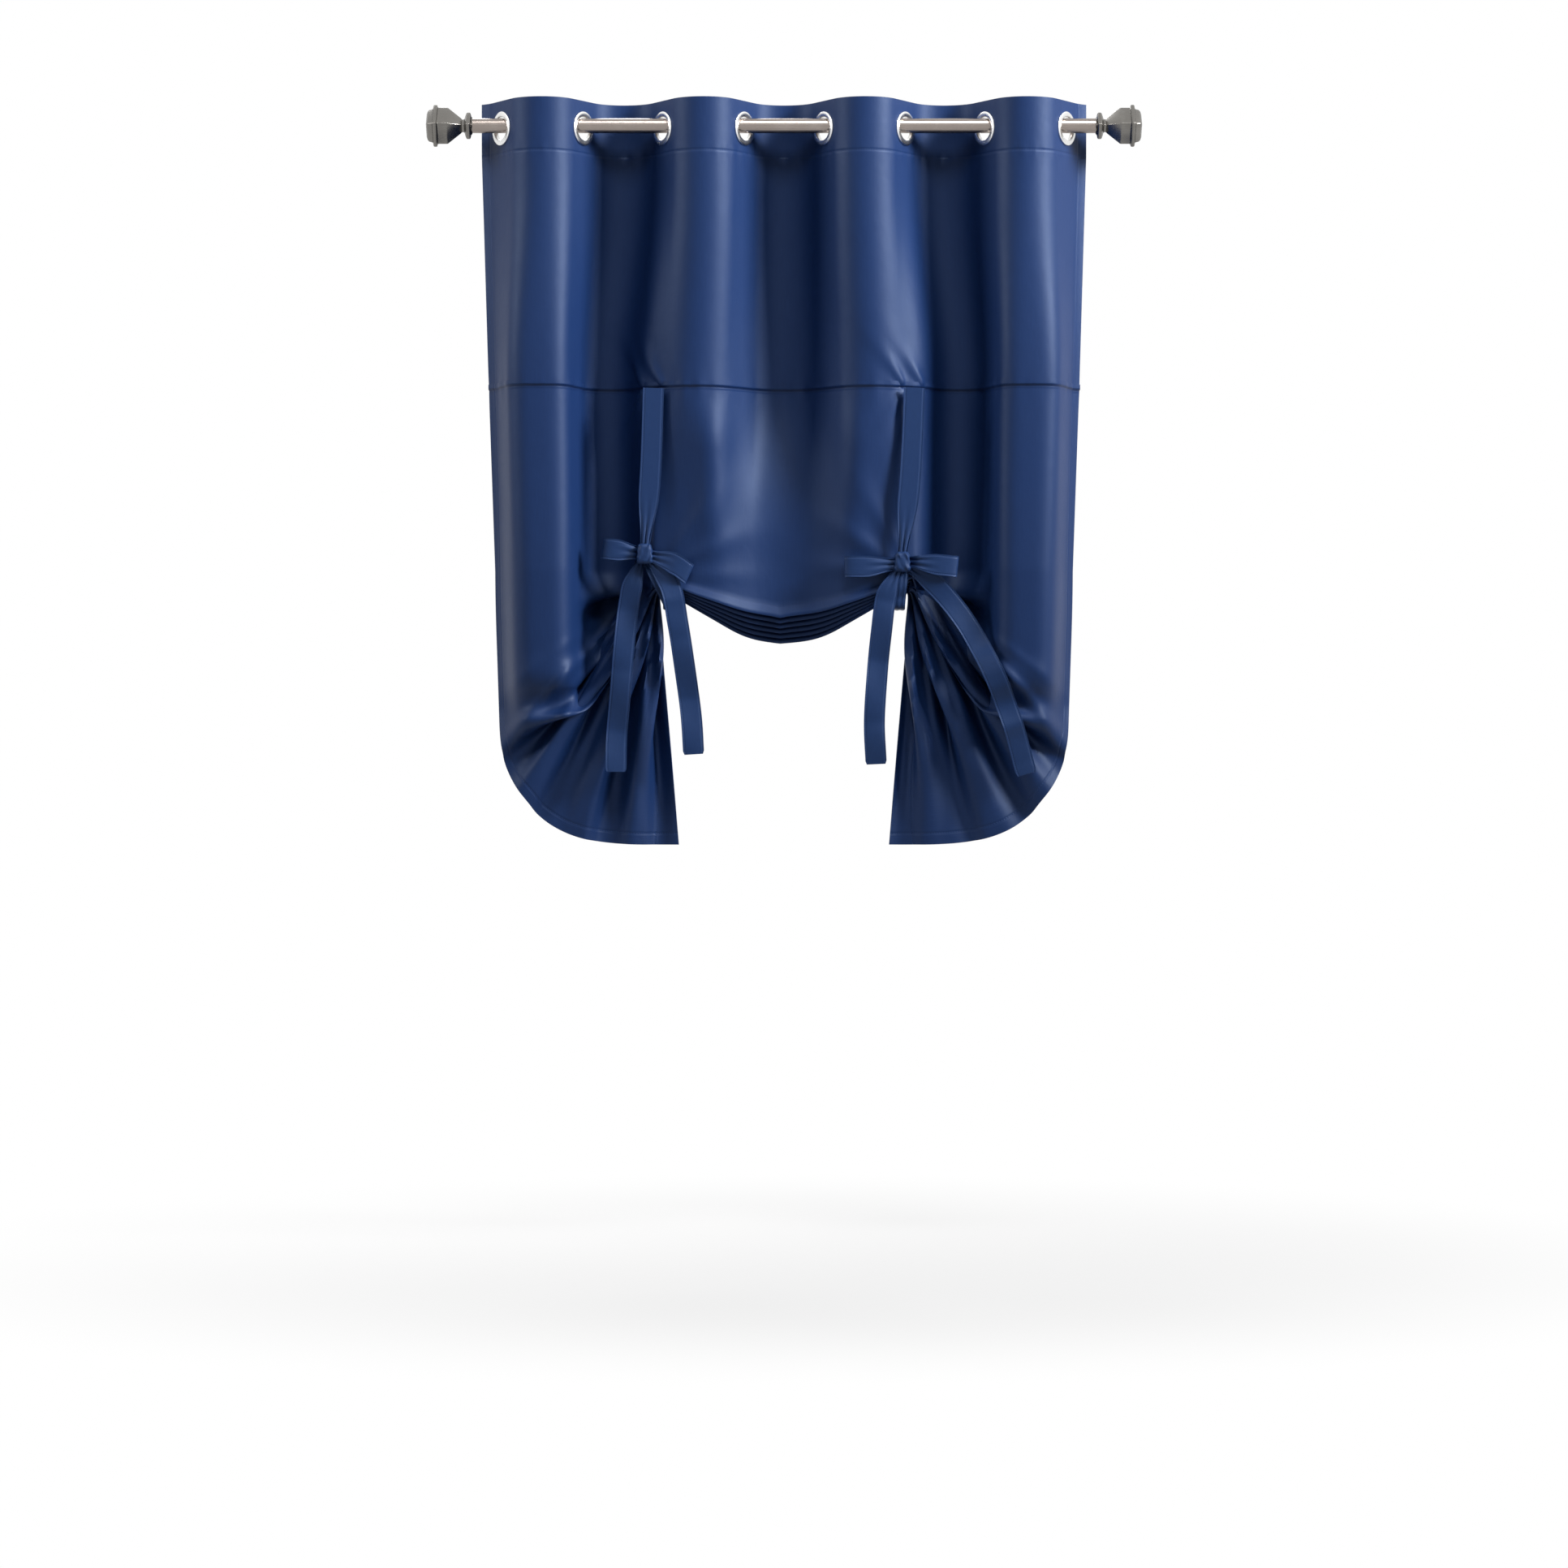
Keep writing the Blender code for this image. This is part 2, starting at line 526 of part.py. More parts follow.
def make_eyelets(places):
    bore, ring = EYELET_BORE / 2, EYELET_RING / 2
    barrel = bore + EYELET_BARREL_WALL
    face = CLOTH_THICKNESS / 2 + FIT_GAP
    crimp = face + EYELET_RING_HEIGHT * EYELET_CRIMP
    front_profile = [(bore, -crimp)]
    front_profile += [(bore + (ring - bore) * out, face + EYELET_RING_HEIGHT * up) for out, up in EYELET_DOME]
    front_profile += [(barrel, face), (barrel, -crimp)]
    hold = barrel + FIT_GAP
    back_profile = [(hold, -face), (ring, -face)]
    back_profile += [(hold + (ring - hold) * out, -face - EYELET_RING_HEIGHT * up) for out, up in EYELET_BACK_DOME]
    turn = math.pi / EYELET_SIDES
    front_mesh = turned_mesh("eyelet_front", front_profile, EYELET_SIDES, turn)
    back_mesh = turned_mesh("eyelet_back", back_profile, EYELET_SIDES, turn)
    for number, (place, front) in enumerate(places, start=1):
        for part, mesh in (("front", front_mesh), ("back", back_mesh)):
            item = add_object(f"grommet_{number}_{part}", mesh.copy(), "satin_silver", math.radians(40))
            item.matrix_world = facing(place, front)


def make_upper_panel(across, places):
    panel = add_object("upper_panel", sheet_mesh("upper_panel", upper_grid(across), CLOTH_THICKNESS),
                       "navy_satin", math.radians(60))
    hole = EYELET_BORE / 2 + EYELET_BARREL_WALL + FIT_GAP
    cutters = bmesh.new()
    for place, front in places:
        bmesh.ops.create_cone(cutters, cap_ends=True, segments=EYELET_SIDES, radius1=hole, radius2=hole,
                              depth=EYELET_RING, matrix=facing(place, front) @ Matrix.Rotation(
                                  math.pi / EYELET_SIDES, 4, "Z"))
    mesh = bpy.data.meshes.new("eyelet_holes")
    cutters.to_mesh(mesh)
    cutters.free()
    holes = bpy.data.objects.new("eyelet_holes", mesh)
    bpy.context.collection.objects.link(holes)
    hide_as_tool(holes)
    cut = panel.modifiers.new("holes", "BOOLEAN")
    cut.operation = "DIFFERENCE"
    cut.object = holes
    return panel


def make_rod():
    outer, inner = ROD_DIAMETER / 2, ROD_DIAMETER / 2 - ROD_WALL
    half = ROD_LENGTH / 2
    profile = [(outer, -half), (outer, half), (inner, half), (inner, -half)]
    mesh = turned_mesh("rod_tube", profile, ROD_SIDES)
    mesh.transform(Matrix.Rotation(math.pi / 2, 4, "Y"))
    add_object("rod_tube", mesh, "brushed_nickel", math.radians(40))


def make_finial(name, side):
    """Square cast finial turned onto its corner, with a round spigot inside the tube."""
    start = ROD_LENGTH / 2 + FIT_GAP
    end = start + FINIAL_LENGTH
    spigot = ROD_DIAMETER / 2 - ROD_WALL - FIT_GAP
    collar_end = start + FINIAL_COLLAR_LENGTH
    cap_start = end - FINIAL_CAP_LENGTH
    flange_start = cap_start - FINIAL_FLANGE_LENGTH
    stations = [(start, FINIAL_COLLAR * FINIAL_END_SHARE)]
    stations += [(start + FINIAL_COLLAR_LENGTH * on, FINIAL_COLLAR * wide) for on, wide in FINIAL_COLLAR_EDGES]
    stations += [
        (collar_end, FINIAL_NECK),
        (collar_end + FINIAL_NECK_LENGTH, FINIAL_NECK),
        (flange_start - FINIAL_BODY_LENGTH, FINIAL_BODY),
        (flange_start, FINIAL_BODY),
        (flange_start + FINIAL_FLANGE_LENGTH * FINIAL_FLANGE_SLOPE, FINIAL_FLANGE),
        (cap_start, FINIAL_FLANGE),
    ]
    stations += [(cap_start + FINIAL_CAP_LENGTH * on, FINIAL_BODY * wide) for on, wide in FINIAL_CAP_EDGES]
    stations.append((end, FINIAL_BODY * FINIAL_END_SHARE))
    build = bmesh.new()
    rings = []
    for x, width in stations:
        corners = [(0, width / 2), (width / 2, 0), (0, -width / 2), (-width / 2, 0)]
        rings.append([build.verts.new((side * x, y, z)) for y, z in corners])
    for ring, following in zip(rings, rings[1:]):
        for k in range(4):
            build.faces.new((ring[k], ring[(k + 1) % 4], following[(k + 1) % 4], following[k]))
    build.faces.new(rings[0])
    build.faces.new(rings[-1])
    bmesh.ops.recalc_face_normals(build, faces=build.faces)
    mesh = bpy.data.meshes.new(name)
    build.to_mesh(mesh)
    build.free()
    item = add_object(name, mesh, "brushed_nickel")
    middle = start + (FINIAL_COLLAR_LENGTH / 2 - FINIAL_SPIGOT_LENGTH) / 2
    length = FINIAL_SPIGOT_LENGTH + FINIAL_COLLAR_LENGTH / 2
    pin = bmesh.new()
    bmesh.ops.create_cone(pin, cap_ends=True, segments=ROD_SIDES, radius1=spigot, radius2=spigot, depth=length,
                          matrix=Matrix.Translation((side * middle, 0, 0)) @ Matrix.Rotation(math.pi / 2, 4, "Y"))
    pin_mesh = bpy.data.meshes.new(name + "_spigot")
    pin.to_mesh(pin_mesh)
    pin.free()
    tool = bpy.data.objects.new(name + "_spigot", pin_mesh)
    bpy.context.collection.objects.link(tool)
    hide_as_tool(tool)
    join = item.modifiers.new("spigot", "BOOLEAN")
    join.operation = "UNION"
    join.object = tool


def smooth_path(points, count):
    """Even samples of a smooth curve through points of (across, up)."""
    given = np.array(points, dtype=float)
    padded = np.concatenate([[2 * given[0] - given[1]], given, [2 * given[-1] - given[-2]]])
    curve = []
    for k in range(len(given) - 1):
        a, b, c, d = padded[k : k + 4]
        for t in np.linspace(0, 1, 24, endpoint=False):
            curve.append(0.5 * (2 * b + (c - a) * t + (2 * a - 5 * b + 4 * c - d) * t**2
                                + (3 * b - a - 3 * c + d) * t**3))
    curve.append(given[-1])
    curve = np.array(curve)
    length = np.concatenate([[0], np.cumsum(np.linalg.norm(np.diff(curve, axis=0), axis=1))])
    wanted = np.linspace(0, length[-1], count)
    return np.stack([np.interp(wanted, length, curve[:, k]) for k in range(given.shape[1])], axis=-1)


def cloth_tree(items):
    vertices, polygons = [], []
    for mesh in items:
        base = len(vertices)
        vertices += [vertex.co.copy() for vertex in mesh.vertices]
        polygons += [[base + k for k in polygon.vertices] for polygon in mesh.polygons]
    return BVHTree.FromPolygons(vertices, polygons)


def cloth_face(tree, x, z, reach, towards):
    """Depth of the nearest cloth within reach of a point, seen from the front (1) or the back (-1)."""
    found = []
    for dx in (-1, -0.5, 0, 0.5, 1):
        for dz in (-0.6, 0, 0.6):
            start = Vector((x + dx * reach, -towards, z + dz * reach))
            hit = tree.ray_cast(start, Vector((0, towards, 0)))[0]
            if hit is not None:
                found.append(hit.y)
    if not found:
        return None
    return min(found) if towards > 0 else max(found)


def cloth_behind(tree, x, z, reach, span):
    """Furthest back that the cloth comes within a span above and below a point."""
    found = [cloth_face(tree, x, z + shift, reach, -1) for shift in np.linspace(-span, span, 9)]
    return max(face for face in found if face is not None)


def strip_mesh(name, centres, widths):
    """Closed ribbon through centres, with its half width as a vector at each of them."""
    points = np.stack([centres - widths, centres + widths], axis=1)
    return sheet_mesh(name, points, RIBBON_THICKNESS)


def hanging_strip(name, places, tree, start_y, pinch_length=PINCH_LENGTH, extra=0.0):
    """Ribbon that hangs down the front of the cloth, no further back than where it starts."""
    count = 10
    path = smooth_path(places, count)
    run = np.gradient(path, axis=0)
    run /= np.linalg.norm(run, axis=1, keepdims=True)
    half = RIBBON_WIDTH / 2
    walked = np.linspace(0, 1, count) * np.linalg.norm(np.diff(path, axis=0), axis=1).sum()
    spread = PINCH + (1 - PINCH) * smooth(walked / pinch_length)
    across = np.stack([-run[:, 1], np.zeros(count), run[:, 0]], axis=-1) * half * spread[:, None]
    gap = RIBBON_CLEARANCE + RIBBON_THICKNESS + extra
    close = 4
    faces = [cloth_face(tree, x, z, half * 1.25, 1) for x, z in smooth_path(places, close * (count - 1) + 1)]
    stand = np.array([start_y if face is None else min(start_y, face - gap) for face in faces])
    depth = np.array([stand[max(0, close * (k - 1)) : close * (k + 1) + 1].min() for k in range(count)])
    for _ in range(3):
        eased = depth.copy()
        eased[1:-1] = (depth[:-2] + 2 * depth[1:-1] + depth[2:]) / 4
        depth = np.minimum(depth, eased)
    depth[0] = start_y
    centres = np.stack([path[:, 0], depth, path[:, 1]], axis=-1)
    return strip_mesh(name, centres, across)


def loop_mesh(name, places, knot_y, tree, count=12):
    """Bow loop: the ribbon runs out in front of the cloth, turns round and comes back behind itself."""
    path = smooth_path(places, 40)
    share = np.linspace(0, 1, 40)
    behind = [cloth_face(tree, x, z, RIBBON_WIDTH * 0.6, 1) for x, z in path]
    clear = np.array(behind) - RIBBON_CLEARANCE - RIBBON_THICKNESS - LOOP_GIRTH / 2
    clear = np.minimum.accumulate(np.minimum(clear, knot_y))
    depth = knot_y + (clear - knot_y) * smooth(share * 4)
    for _ in range(12):
        depth[1:-1] = np.minimum(depth[1:-1], (depth[:-2] + depth[2:]) / 2)
    middle = np.stack([path[:, 0], depth, path[:, 1]], axis=-1)
    run = np.gradient(middle, axis=0)
    away = np.stack([-run[:, 1], run[:, 0], np.zeros(40)], axis=-1)
    away /= np.linalg.norm(away, axis=1, keepdims=True)
    heading = path[-1] - path[0]
    heading /= np.linalg.norm(heading)
    around = np.linspace(0, 2 * math.pi, count, endpoint=False)
    reach = (1 - np.cos(around)) / 2
    spot = reach * 39
    line = np.stack([np.interp(spot, np.arange(40), middle[:, k]) for k in range(3)], axis=-1)
    side = np.stack([np.interp(spot, np.arange(40), away[:, k]) for k in range(3)], axis=-1)
    swell = LOOP_GIRTH / 2 * np.sin(around) * (LOOP_ROOT + (1 - LOOP_ROOT) * reach)
    centres = line + side * swell[:, None]
    narrow = LOOP_PINCH + (1 - LOOP_PINCH) * smooth(reach * 1.6)
    half = RIBBON_WIDTH / 2 * narrow[:, None]
    widths = np.array([-heading[1], 0, heading[0]]) * half
    tangent = np.roll(centres, -1, axis=0) - np.roll(centres, 1, axis=0)
    normal = np.cross(tangent, widths)
    normal /= np.maximum(np.linalg.norm(normal, axis=1, keepdims=True), 1e-12)
    skin = normal * RIBBON_THICKNESS / 2
    corners = [centres - widths - skin, centres + widths - skin, centres + widths + skin, centres - widths + skin]
    vertices = np.stack(corners, axis=1).reshape(-1, 3)
    faces = []
    for k in range(count):
        here, there = 4 * k, 4 * ((k + 1) % count)
        for c in range(4):
            n = (c + 1) % 4
            faces.append((here + c, here + n, there + n, there + c))
    mesh = bpy.data.meshes.new(name)
    mesh.from_pydata([tuple(vertex) for vertex in vertices], [], faces)
    clean = bmesh.new()
    clean.from_mesh(mesh)
    bmesh.ops.recalc_face_normals(clean, faces=clean.faces)
    clean.to_mesh(mesh)
    clean.free()
    return mesh


def lump_mesh(name, centre, size):
    """Rounded block for a knot."""
    build = bmesh.new()
    bmesh.ops.create_icosphere(build, subdivisions=2, radius=0.5)
    for vertex in build.verts:
        square = [math.copysign(abs(value * 2) ** 0.7 / 2, value) for value in vertex.co]
        vertex.co = Vector(centre) + Vector([square[k] * size[k] for k in range(3)])
    mesh = bpy.data.meshes.new(name)
    build.to_mesh(mesh)
    build.free()
    return mesh


def joined_tie(name, meshes):
    """One body from shapes that overlap at the knot."""
    tie = add_object(name, meshes[0], "navy_ribbon", math.radians(50))
    for number, mesh in enumerate(meshes[1:], start=1):
        tool = bpy.data.objects.new(f"{name}_shape_{number}", mesh)
        bpy.context.collection.objects.link(tool)
        hide_as_tool(tool)
        join = tie.modifiers.new(f"join_{number}", "BOOLEAN")
        join.operation = "UNION"
        join.object = tool
    return tie


def make_bow(name, bow, tree):
    side = bow["side"]
    out, up = bow["knot"]
    knot = (side * (TIE_HALF_SPAN + out), up - WAIST_DROP)
    top = (side * TIE_HALF_SPAN, -SEAM_DROP - SEAM_HOLD)
    places = {key: [(knot[0] + x, knot[1] + z) for x, z in bow[key]]
              for key in ("front_loop", "back_loop", "front_tail", "back_tail")}
    front_face = cloth_face(tree, knot[0], knot[1], RIBBON_WIDTH * 0.6, 1) - RIBBON_CLEARANCE
    core_y = front_face - CORE_DEPTH / 2
    knot_y = front_face - CORE_DEPTH - FIT_GAP - KNOT_SIZE[1] / 2
    strap_end = (knot[0], knot[1] + KNOT_SIZE[2] / 3)
    middle = ((top[0] * 2 + knot[0]) / 3, (top[1] + knot[1]) / 2)
    strap = hanging_strip(name + "_strap", [strap_end, middle, top], tree, knot_y, STRAP_PINCH_LENGTH)
    loop = loop_mesh(name + "_front_loop", places["front_loop"], knot_y, tree)
    tail = hanging_strip(name + "_front_tail", places["front_tail"], tree, knot_y, extra=CORE_DEPTH)
    lump = lump_mesh(name + "_knot", (knot[0], knot_y, knot[1]), KNOT_SIZE)
    joined_tie(name + "_front_tie", [lump, strap, loop, tail])

    core_size = (KNOT_SIZE[0] * CORE_SHARE, CORE_DEPTH, KNOT_SIZE[2] * CORE_SHARE)
    core = lump_mesh(name + "_core", (knot[0], core_y, knot[1]), core_size)
    back_loop = loop_mesh(name + "_back_loop", places["back_loop"], core_y, tree)
    back_tail = hanging_strip(name + "_back_tail", places["back_tail"], tree, core_y)
    band = under_band(name, side, knot, core_y, tree)
    joined_tie(name + "_back_tie", [core, back_loop, back_tail, band])


def bundle_bottom(tree, x, reach):
    """Lowest point of the gathers over a strip of the given half width."""
    start = -WAIST_DROP - PLEAT_LENGTH / 2
    found = []
    for dx in np.linspace(-reach, reach, 5):
        for y in np.linspace(-BUNDLE_DEPTH, 2 * BUNDLE_DEPTH, 25):
            hit = tree.ray_cast(Vector((x + dx, y, start)), Vector((0, 0, 1)))[0]
            if hit is not None:
                found.append(hit.z)
    return min(found)


def under_band(name, side, knot, core_y, tree):
    """Ribbon from the seam down the back, under the gathers and up to the knot."""
    band_x = side * (TIE_HALF_SPAN - BAND_INSET)
    reach = BAND_WIDTH * 0.7
    gap = RIBBON_CLEARANCE + RIBBON_THICKNESS
    low = bundle_bottom(tree, band_x, reach) - gap
    turn = low + BAND_TURN
    heights = np.linspace(-SEAM_DROP - SEAM_HOLD, turn, 8)
    back = np.array([cloth_behind(tree, band_x, z, reach, heights[0] - heights[1]) + gap for z in heights])
    slope = np.interp(heights, [heights[-1], heights[0]], [back.max(), back[0]])
    back = np.maximum(back, slope)
    rising = np.linspace(0, 1, 4)
    front = [min(core_y, cloth_face(tree, band_x + (knot[0] - band_x) * share,
                                    turn + (knot[1] - turn) * share, reach, 1) - gap) for share in rising]
    centres = [(band_x, y, z) for y, z in zip(back, heights)]
    corner = BAND_TURN * 0.7
    centres += [(band_x, y, low) for y in np.linspace(back[-1] - corner, front[0] + corner, 4)]
    centres += [(band_x + (knot[0] - band_x) * share, y, turn + (knot[1] - turn) * share)
                for share, y in zip(rising, front)]
    centres[-1] = (knot[0], core_y, knot[1])
    centres = np.array(centres)
    widths = np.zeros_like(centres)
    widths[:, 0] = BAND_WIDTH / 2
    return strip_mesh(name + "_band", centres, widths)


def main():
    for item in list(bpy.data.objects):
        bpy.data.objects.remove(item, do_unlink=True)
    places = eyelet_places()
    make_rod()
    make_finial("left_finial", -1)
    make_finial("right_finial", 1)
    make_eyelets(places)
    upper = make_upper_panel(heading_columns(), places)
    samples = PLEATS * 40 + 1
    rows = [0]
    for pleat in range(PLEATS):
        rows += [pleat * 40 + step for step in (8, 12, 20, 28, 32, 40)]
    grid = lower_grid(gathered_columns(), 6, samples, rows)
    lower = add_object("lower_panel", sheet_mesh("lower_panel", grid, CLOTH_THICKNESS), "navy_satin",
                       math.radians(60))
    tree = cloth_tree([upper.data, lower.data])
    for name, bow in BOWS.items():
        make_bow(name, bow, tree)


main()
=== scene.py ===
import math

import bmesh
import bpy
import numpy as np
from mathutils import Matrix, Vector
from mathutils.bvhtree import BVHTree


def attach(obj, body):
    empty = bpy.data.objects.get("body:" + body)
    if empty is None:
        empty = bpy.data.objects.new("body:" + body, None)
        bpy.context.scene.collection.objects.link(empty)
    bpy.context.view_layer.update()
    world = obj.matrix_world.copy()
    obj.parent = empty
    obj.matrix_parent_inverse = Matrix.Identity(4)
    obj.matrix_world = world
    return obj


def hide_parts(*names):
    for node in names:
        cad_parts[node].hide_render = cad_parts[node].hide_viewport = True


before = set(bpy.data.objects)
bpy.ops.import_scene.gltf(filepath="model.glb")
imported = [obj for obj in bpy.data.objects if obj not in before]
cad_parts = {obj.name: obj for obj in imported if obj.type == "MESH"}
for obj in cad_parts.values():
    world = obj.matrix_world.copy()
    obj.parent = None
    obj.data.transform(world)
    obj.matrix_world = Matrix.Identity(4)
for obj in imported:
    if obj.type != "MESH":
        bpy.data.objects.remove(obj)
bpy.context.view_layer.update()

cloth = {
    "width": 1.422,
    "length": 1.600,
    "upper": 0.4965,  # top edge to the seam that holds the ribbons
    "thickness": 0.0015,
    "seamGap": 0.0003,
    "allowanceRows": (0.0015, 0.0045, 0.010),  # how far the seam allowance stands up at each of its rows
    "headingStand": 0.043,
    "headingDepth": 0.091,
    "endMargin": 0.060,  # side edge to the first eyelet
    "eyelets": 8,
    "eyeletFlat": 0.062,
    "sideHem": 0.019,
    "bottomHem": 0.042,
}
halfWidth = cloth["width"] / 2
eyeletPitch = (cloth["width"] - 2 * cloth["endMargin"]) / (cloth["eyelets"] - 1)
seamDrop = cloth["upper"] - cloth["headingStand"]
headingDrop = cloth["headingDepth"] - cloth["headingStand"]

hang = {
    "rodHalf": 0.524,
    "seamHalf": 0.511,
    "waistHalf": 0.500,
    "mostSwing": 2.2,
    "strapCalm": 0.5,  # share of the wave that is drawn out behind a ribbon
    "dent": 0.55,  # how much the wave near the side edge leans
    "dentPlace": 3,  # in eyelet pitches from the middle
    "dentWidth": 0.2,
    "tieFromEdge": 0.445,
    "tieHalfSpan": 0.224,
    "bundleDrop": 0.314,
    "bundleSink": 0.022,  # how much lower the hindmost gather is held
    "bundleShift": 0.004,
    "bundleDepth": 0.052,
    "pleats": 6,
    "firstSag": 0.056,
    "lastSag": 0.112,
    "swagFold": 0.6,  # share of a fold's height kept in the middle of the swag, and beside a bow
    "swagEndFold": 0.3,
    "tailInner": 0.182,
    "tailBottom": 1.2404,
    "tailSquareness": 3.8,
    "sideTaper": 0.022,  # how much the hanging side draws in below the waist
    "tailBend": 0.022,
    "turnSpan": 0.352,  # middle to the fold where the hanging side turns back to the bow
    "tautFrom": 0.24,  # share of the gathered cloth that hangs before it is drawn tight
    "tautTo": 0.56,
    "waistBlend": 0.06,  # share of it that still hangs straight from the waist
    "leastFold": 0.75,
    "hemCalm": 0.35,
    "tailOpen": math.radians(50),
    "bundleAngle": math.radians(158),
    "bellyCalm": 0.65,  # share of the wave that is drawn out between the bows
    "bellyRate": 1.3,
}
tieColumn = halfWidth - hang["tieFromEdge"]
waistDrop = seamDrop + hang["bundleDrop"]
gatheredLength = cloth["length"] - cloth["upper"] - hang["bundleDrop"]
pleatLength = gatheredLength / hang["pleats"]

gather = {
    "mostReach": 0.9,  # share of a column's length that its pleats may hang down
    "openRate": 1.15,  # how fast the pleats open and soften from the bow to the side edge
    "softRate": 1.3,
    "turn": 0.09,  # share of a pleat in which the cloth turns back at a bow, and what the side edge adds
    "turnGain": 0.36,
    "needRows": 19,  # rows over which a column's fullness is evened out, and the most of it
    "mostNeed": 1.1,
    "crush": 0.8,  # how far a pleat's face is flattened where the cloth bends into a bow
    "waveFrom": 0.18,  # share of the gathered cloth in which the wave of the front fades
    "waveSpan": 0.36,
}


# shader helpers

def sumNode(operation, swapped=False):
    def write(wire, other):
        pair = (other, wire) if swapped else (wire, other)
        return wire.shader.math(operation, *pair)
    return write


class Wire:
    # one value in a material, so that sums are written as sums
    def __init__(self, shader, socket):
        self.shader, self.socket = shader, socket

    __add__, __radd__ = sumNode("ADD"), sumNode("ADD", True)
    __sub__, __rsub__ = sumNode("SUBTRACT"), sumNode("SUBTRACT", True)
    __mul__, __rmul__ = sumNode("MULTIPLY"), sumNode("MULTIPLY", True)
    __truediv__, __rtruediv__ = sumNode("DIVIDE"), sumNode("DIVIDE", True)


class Shader:
    def __init__(self, tree):
        self.tree = tree

    def node(self, kind, settings=None, inputs=None, output=0):
        item = self.tree.nodes.new(kind)
        for key, value in (settings or {}).items():
            setattr(item, key, value)
        for key, value in (inputs or {}).items():
            self.feed(item.inputs[key], value)
        return Wire(self, item.outputs[output])

    def feed(self, socket, value):
        if isinstance(value, Wire):
            self.tree.links.new(value.socket, socket)
        else:
            socket.default_value = value

    def math(self, operation, *values):
        return self.node("ShaderNodeMath", {"operation": operation}, dict(enumerate(values)))

    def mix(self, factor, first, second):
        return self.node("ShaderNodeMix", {"data_type": "RGBA"}, {0: factor, 6: first, 7: second}, 2)

    def between(self, value, low, high):
        # 0 below low, 1 above high
        return self.node("ShaderNodeMapRange", {"interpolation_type": "SMOOTHSTEP"},
                         {"Value": value, "From Min": low, "From Max": high})

    def line(self, value, middle, width):
        # 1 on a line across a map, fading to 0 at its width
        return 1 - self.between(self.math("ABSOLUTE", value - middle), 0.0, width)

    def noise(self, vector, scale, detail, roughness):
        return self.node("ShaderNodeTexNoise", None,
                         {"Vector": vector, "Scale": scale, "Detail": detail, "Roughness": roughness})

    def bump(self, height, distance, strength, normal=None):
        inputs = {"Height": height, "Distance": distance, "Strength": strength}
        if normal is not None:
            inputs["Normal"] = normal
        return self.node("ShaderNodeBump", None, inputs)


class Finish(Shader):
    def __init__(self, name, colour):
        self.material = bpy.data.materials.new(name)
        self.material.use_nodes = True
        self.material.diffuse_color = colour
        super().__init__(self.material.node_tree)
        self.surface = self.tree.nodes["Principled BSDF"]
        self.surface.inputs["Base Color"].default_value = colour

    def set(self, values):
        for key, value in values.items():
            self.feed(self.surface.inputs[key], value)


def clothMap(finish, scale):
    # place on the cloth in metres: across and down
    uv = finish.node("ShaderNodeUVMap", {"uv_map": "clothMap"})
    across, down = (finish.node("ShaderNodeSeparateXYZ", None, {0: uv}, axis) * scale for axis in (0, 1))
    return across, down, finish.node("ShaderNodeCombineXYZ", None, {0: across, 1: down})


satin = {
    "shade": (0.0044, 0.0192, 0.0800, 1.0),
    "deep": (0.0030, 0.0146, 0.0640, 1.0),
    "thread": (0.0120, 0.0370, 0.1280, 1.0),
    "seam": (0.004, 0.010, 0.040, 1.0),
    "tack": (0.16, 0.22, 0.36, 1.0),  # loose threads where the heading is caught down
    "shine": (0.62, 0.76, 1.0, 1.0),
    "ribbon": (0.0062, 0.0225, 0.0820, 1.0),
    "ribbonThread": (0.045, 0.085, 0.22, 1.0),
    "roughness": 0.48,
    "gloss": 0.32,
    "stitchPitch": 0.0042,
    "stitchShare": 0.34,
    "stitchWidth": 0.0012,
    "grooveWidth": 0.004,
    "seamWidth": 0.0035,
    "tackSpan": 0.011,
    "tackWidth": 0.0026,
    "tackPitch": 0.0019,
    "ribbonPitch": 0.0036,
    "ribbonHem": 0.0028,
    "ribbonStitchWidth": 0.0009,
    "ribbonGrooveWidth": 0.0024,
    "threadScale": 900.0,
    "fine": (0.00012, 0.5),  # distance and strength of a bump
}
clothRelief = {"crumple": 38.0, "soft": (0.0012, 0.35), "sewn": (0.0009, 0.8), "twill": 480.0}
ribbonRelief = {"crumple": 55.0, "soft": (0.0010, 0.3), "sewn": (0.0006, 0.8), "twill": 520.0}


def stitches(finish, along, pitch):
    # dashes along a sewn line
    return finish.line(finish.math("FRACT", along / pitch), 0.5, satin["stitchShare"])


def threads(finish, across, down, scale):
    # uneven threads that run down the cloth
    drawn = finish.node("ShaderNodeCombineXYZ", None, {0: across * satin["threadScale"], 1: down * scale})
    return finish.noise(drawn, 1.0, 3.0, 0.6)


def wovenSurface(finish, flat, streak, sewing, relief):
    # soft creases, then the sewing, then twill and threads
    soft = finish.bump(finish.noise(flat, relief["crumple"], 4.0, 0.6), *relief["soft"])
    twill = finish.node("ShaderNodeTexWave", {"wave_type": "BANDS", "bands_direction": "DIAGONAL"},
                        {"Vector": flat, "Scale": relief["twill"], "Distortion": 0.4, "Detail": 1.0}, 1)
    sewn = finish.bump(sewing, *relief["sewn"], soft)
    return finish.bump(twill * 0.5 + streak * 0.5, *satin["fine"], sewn)


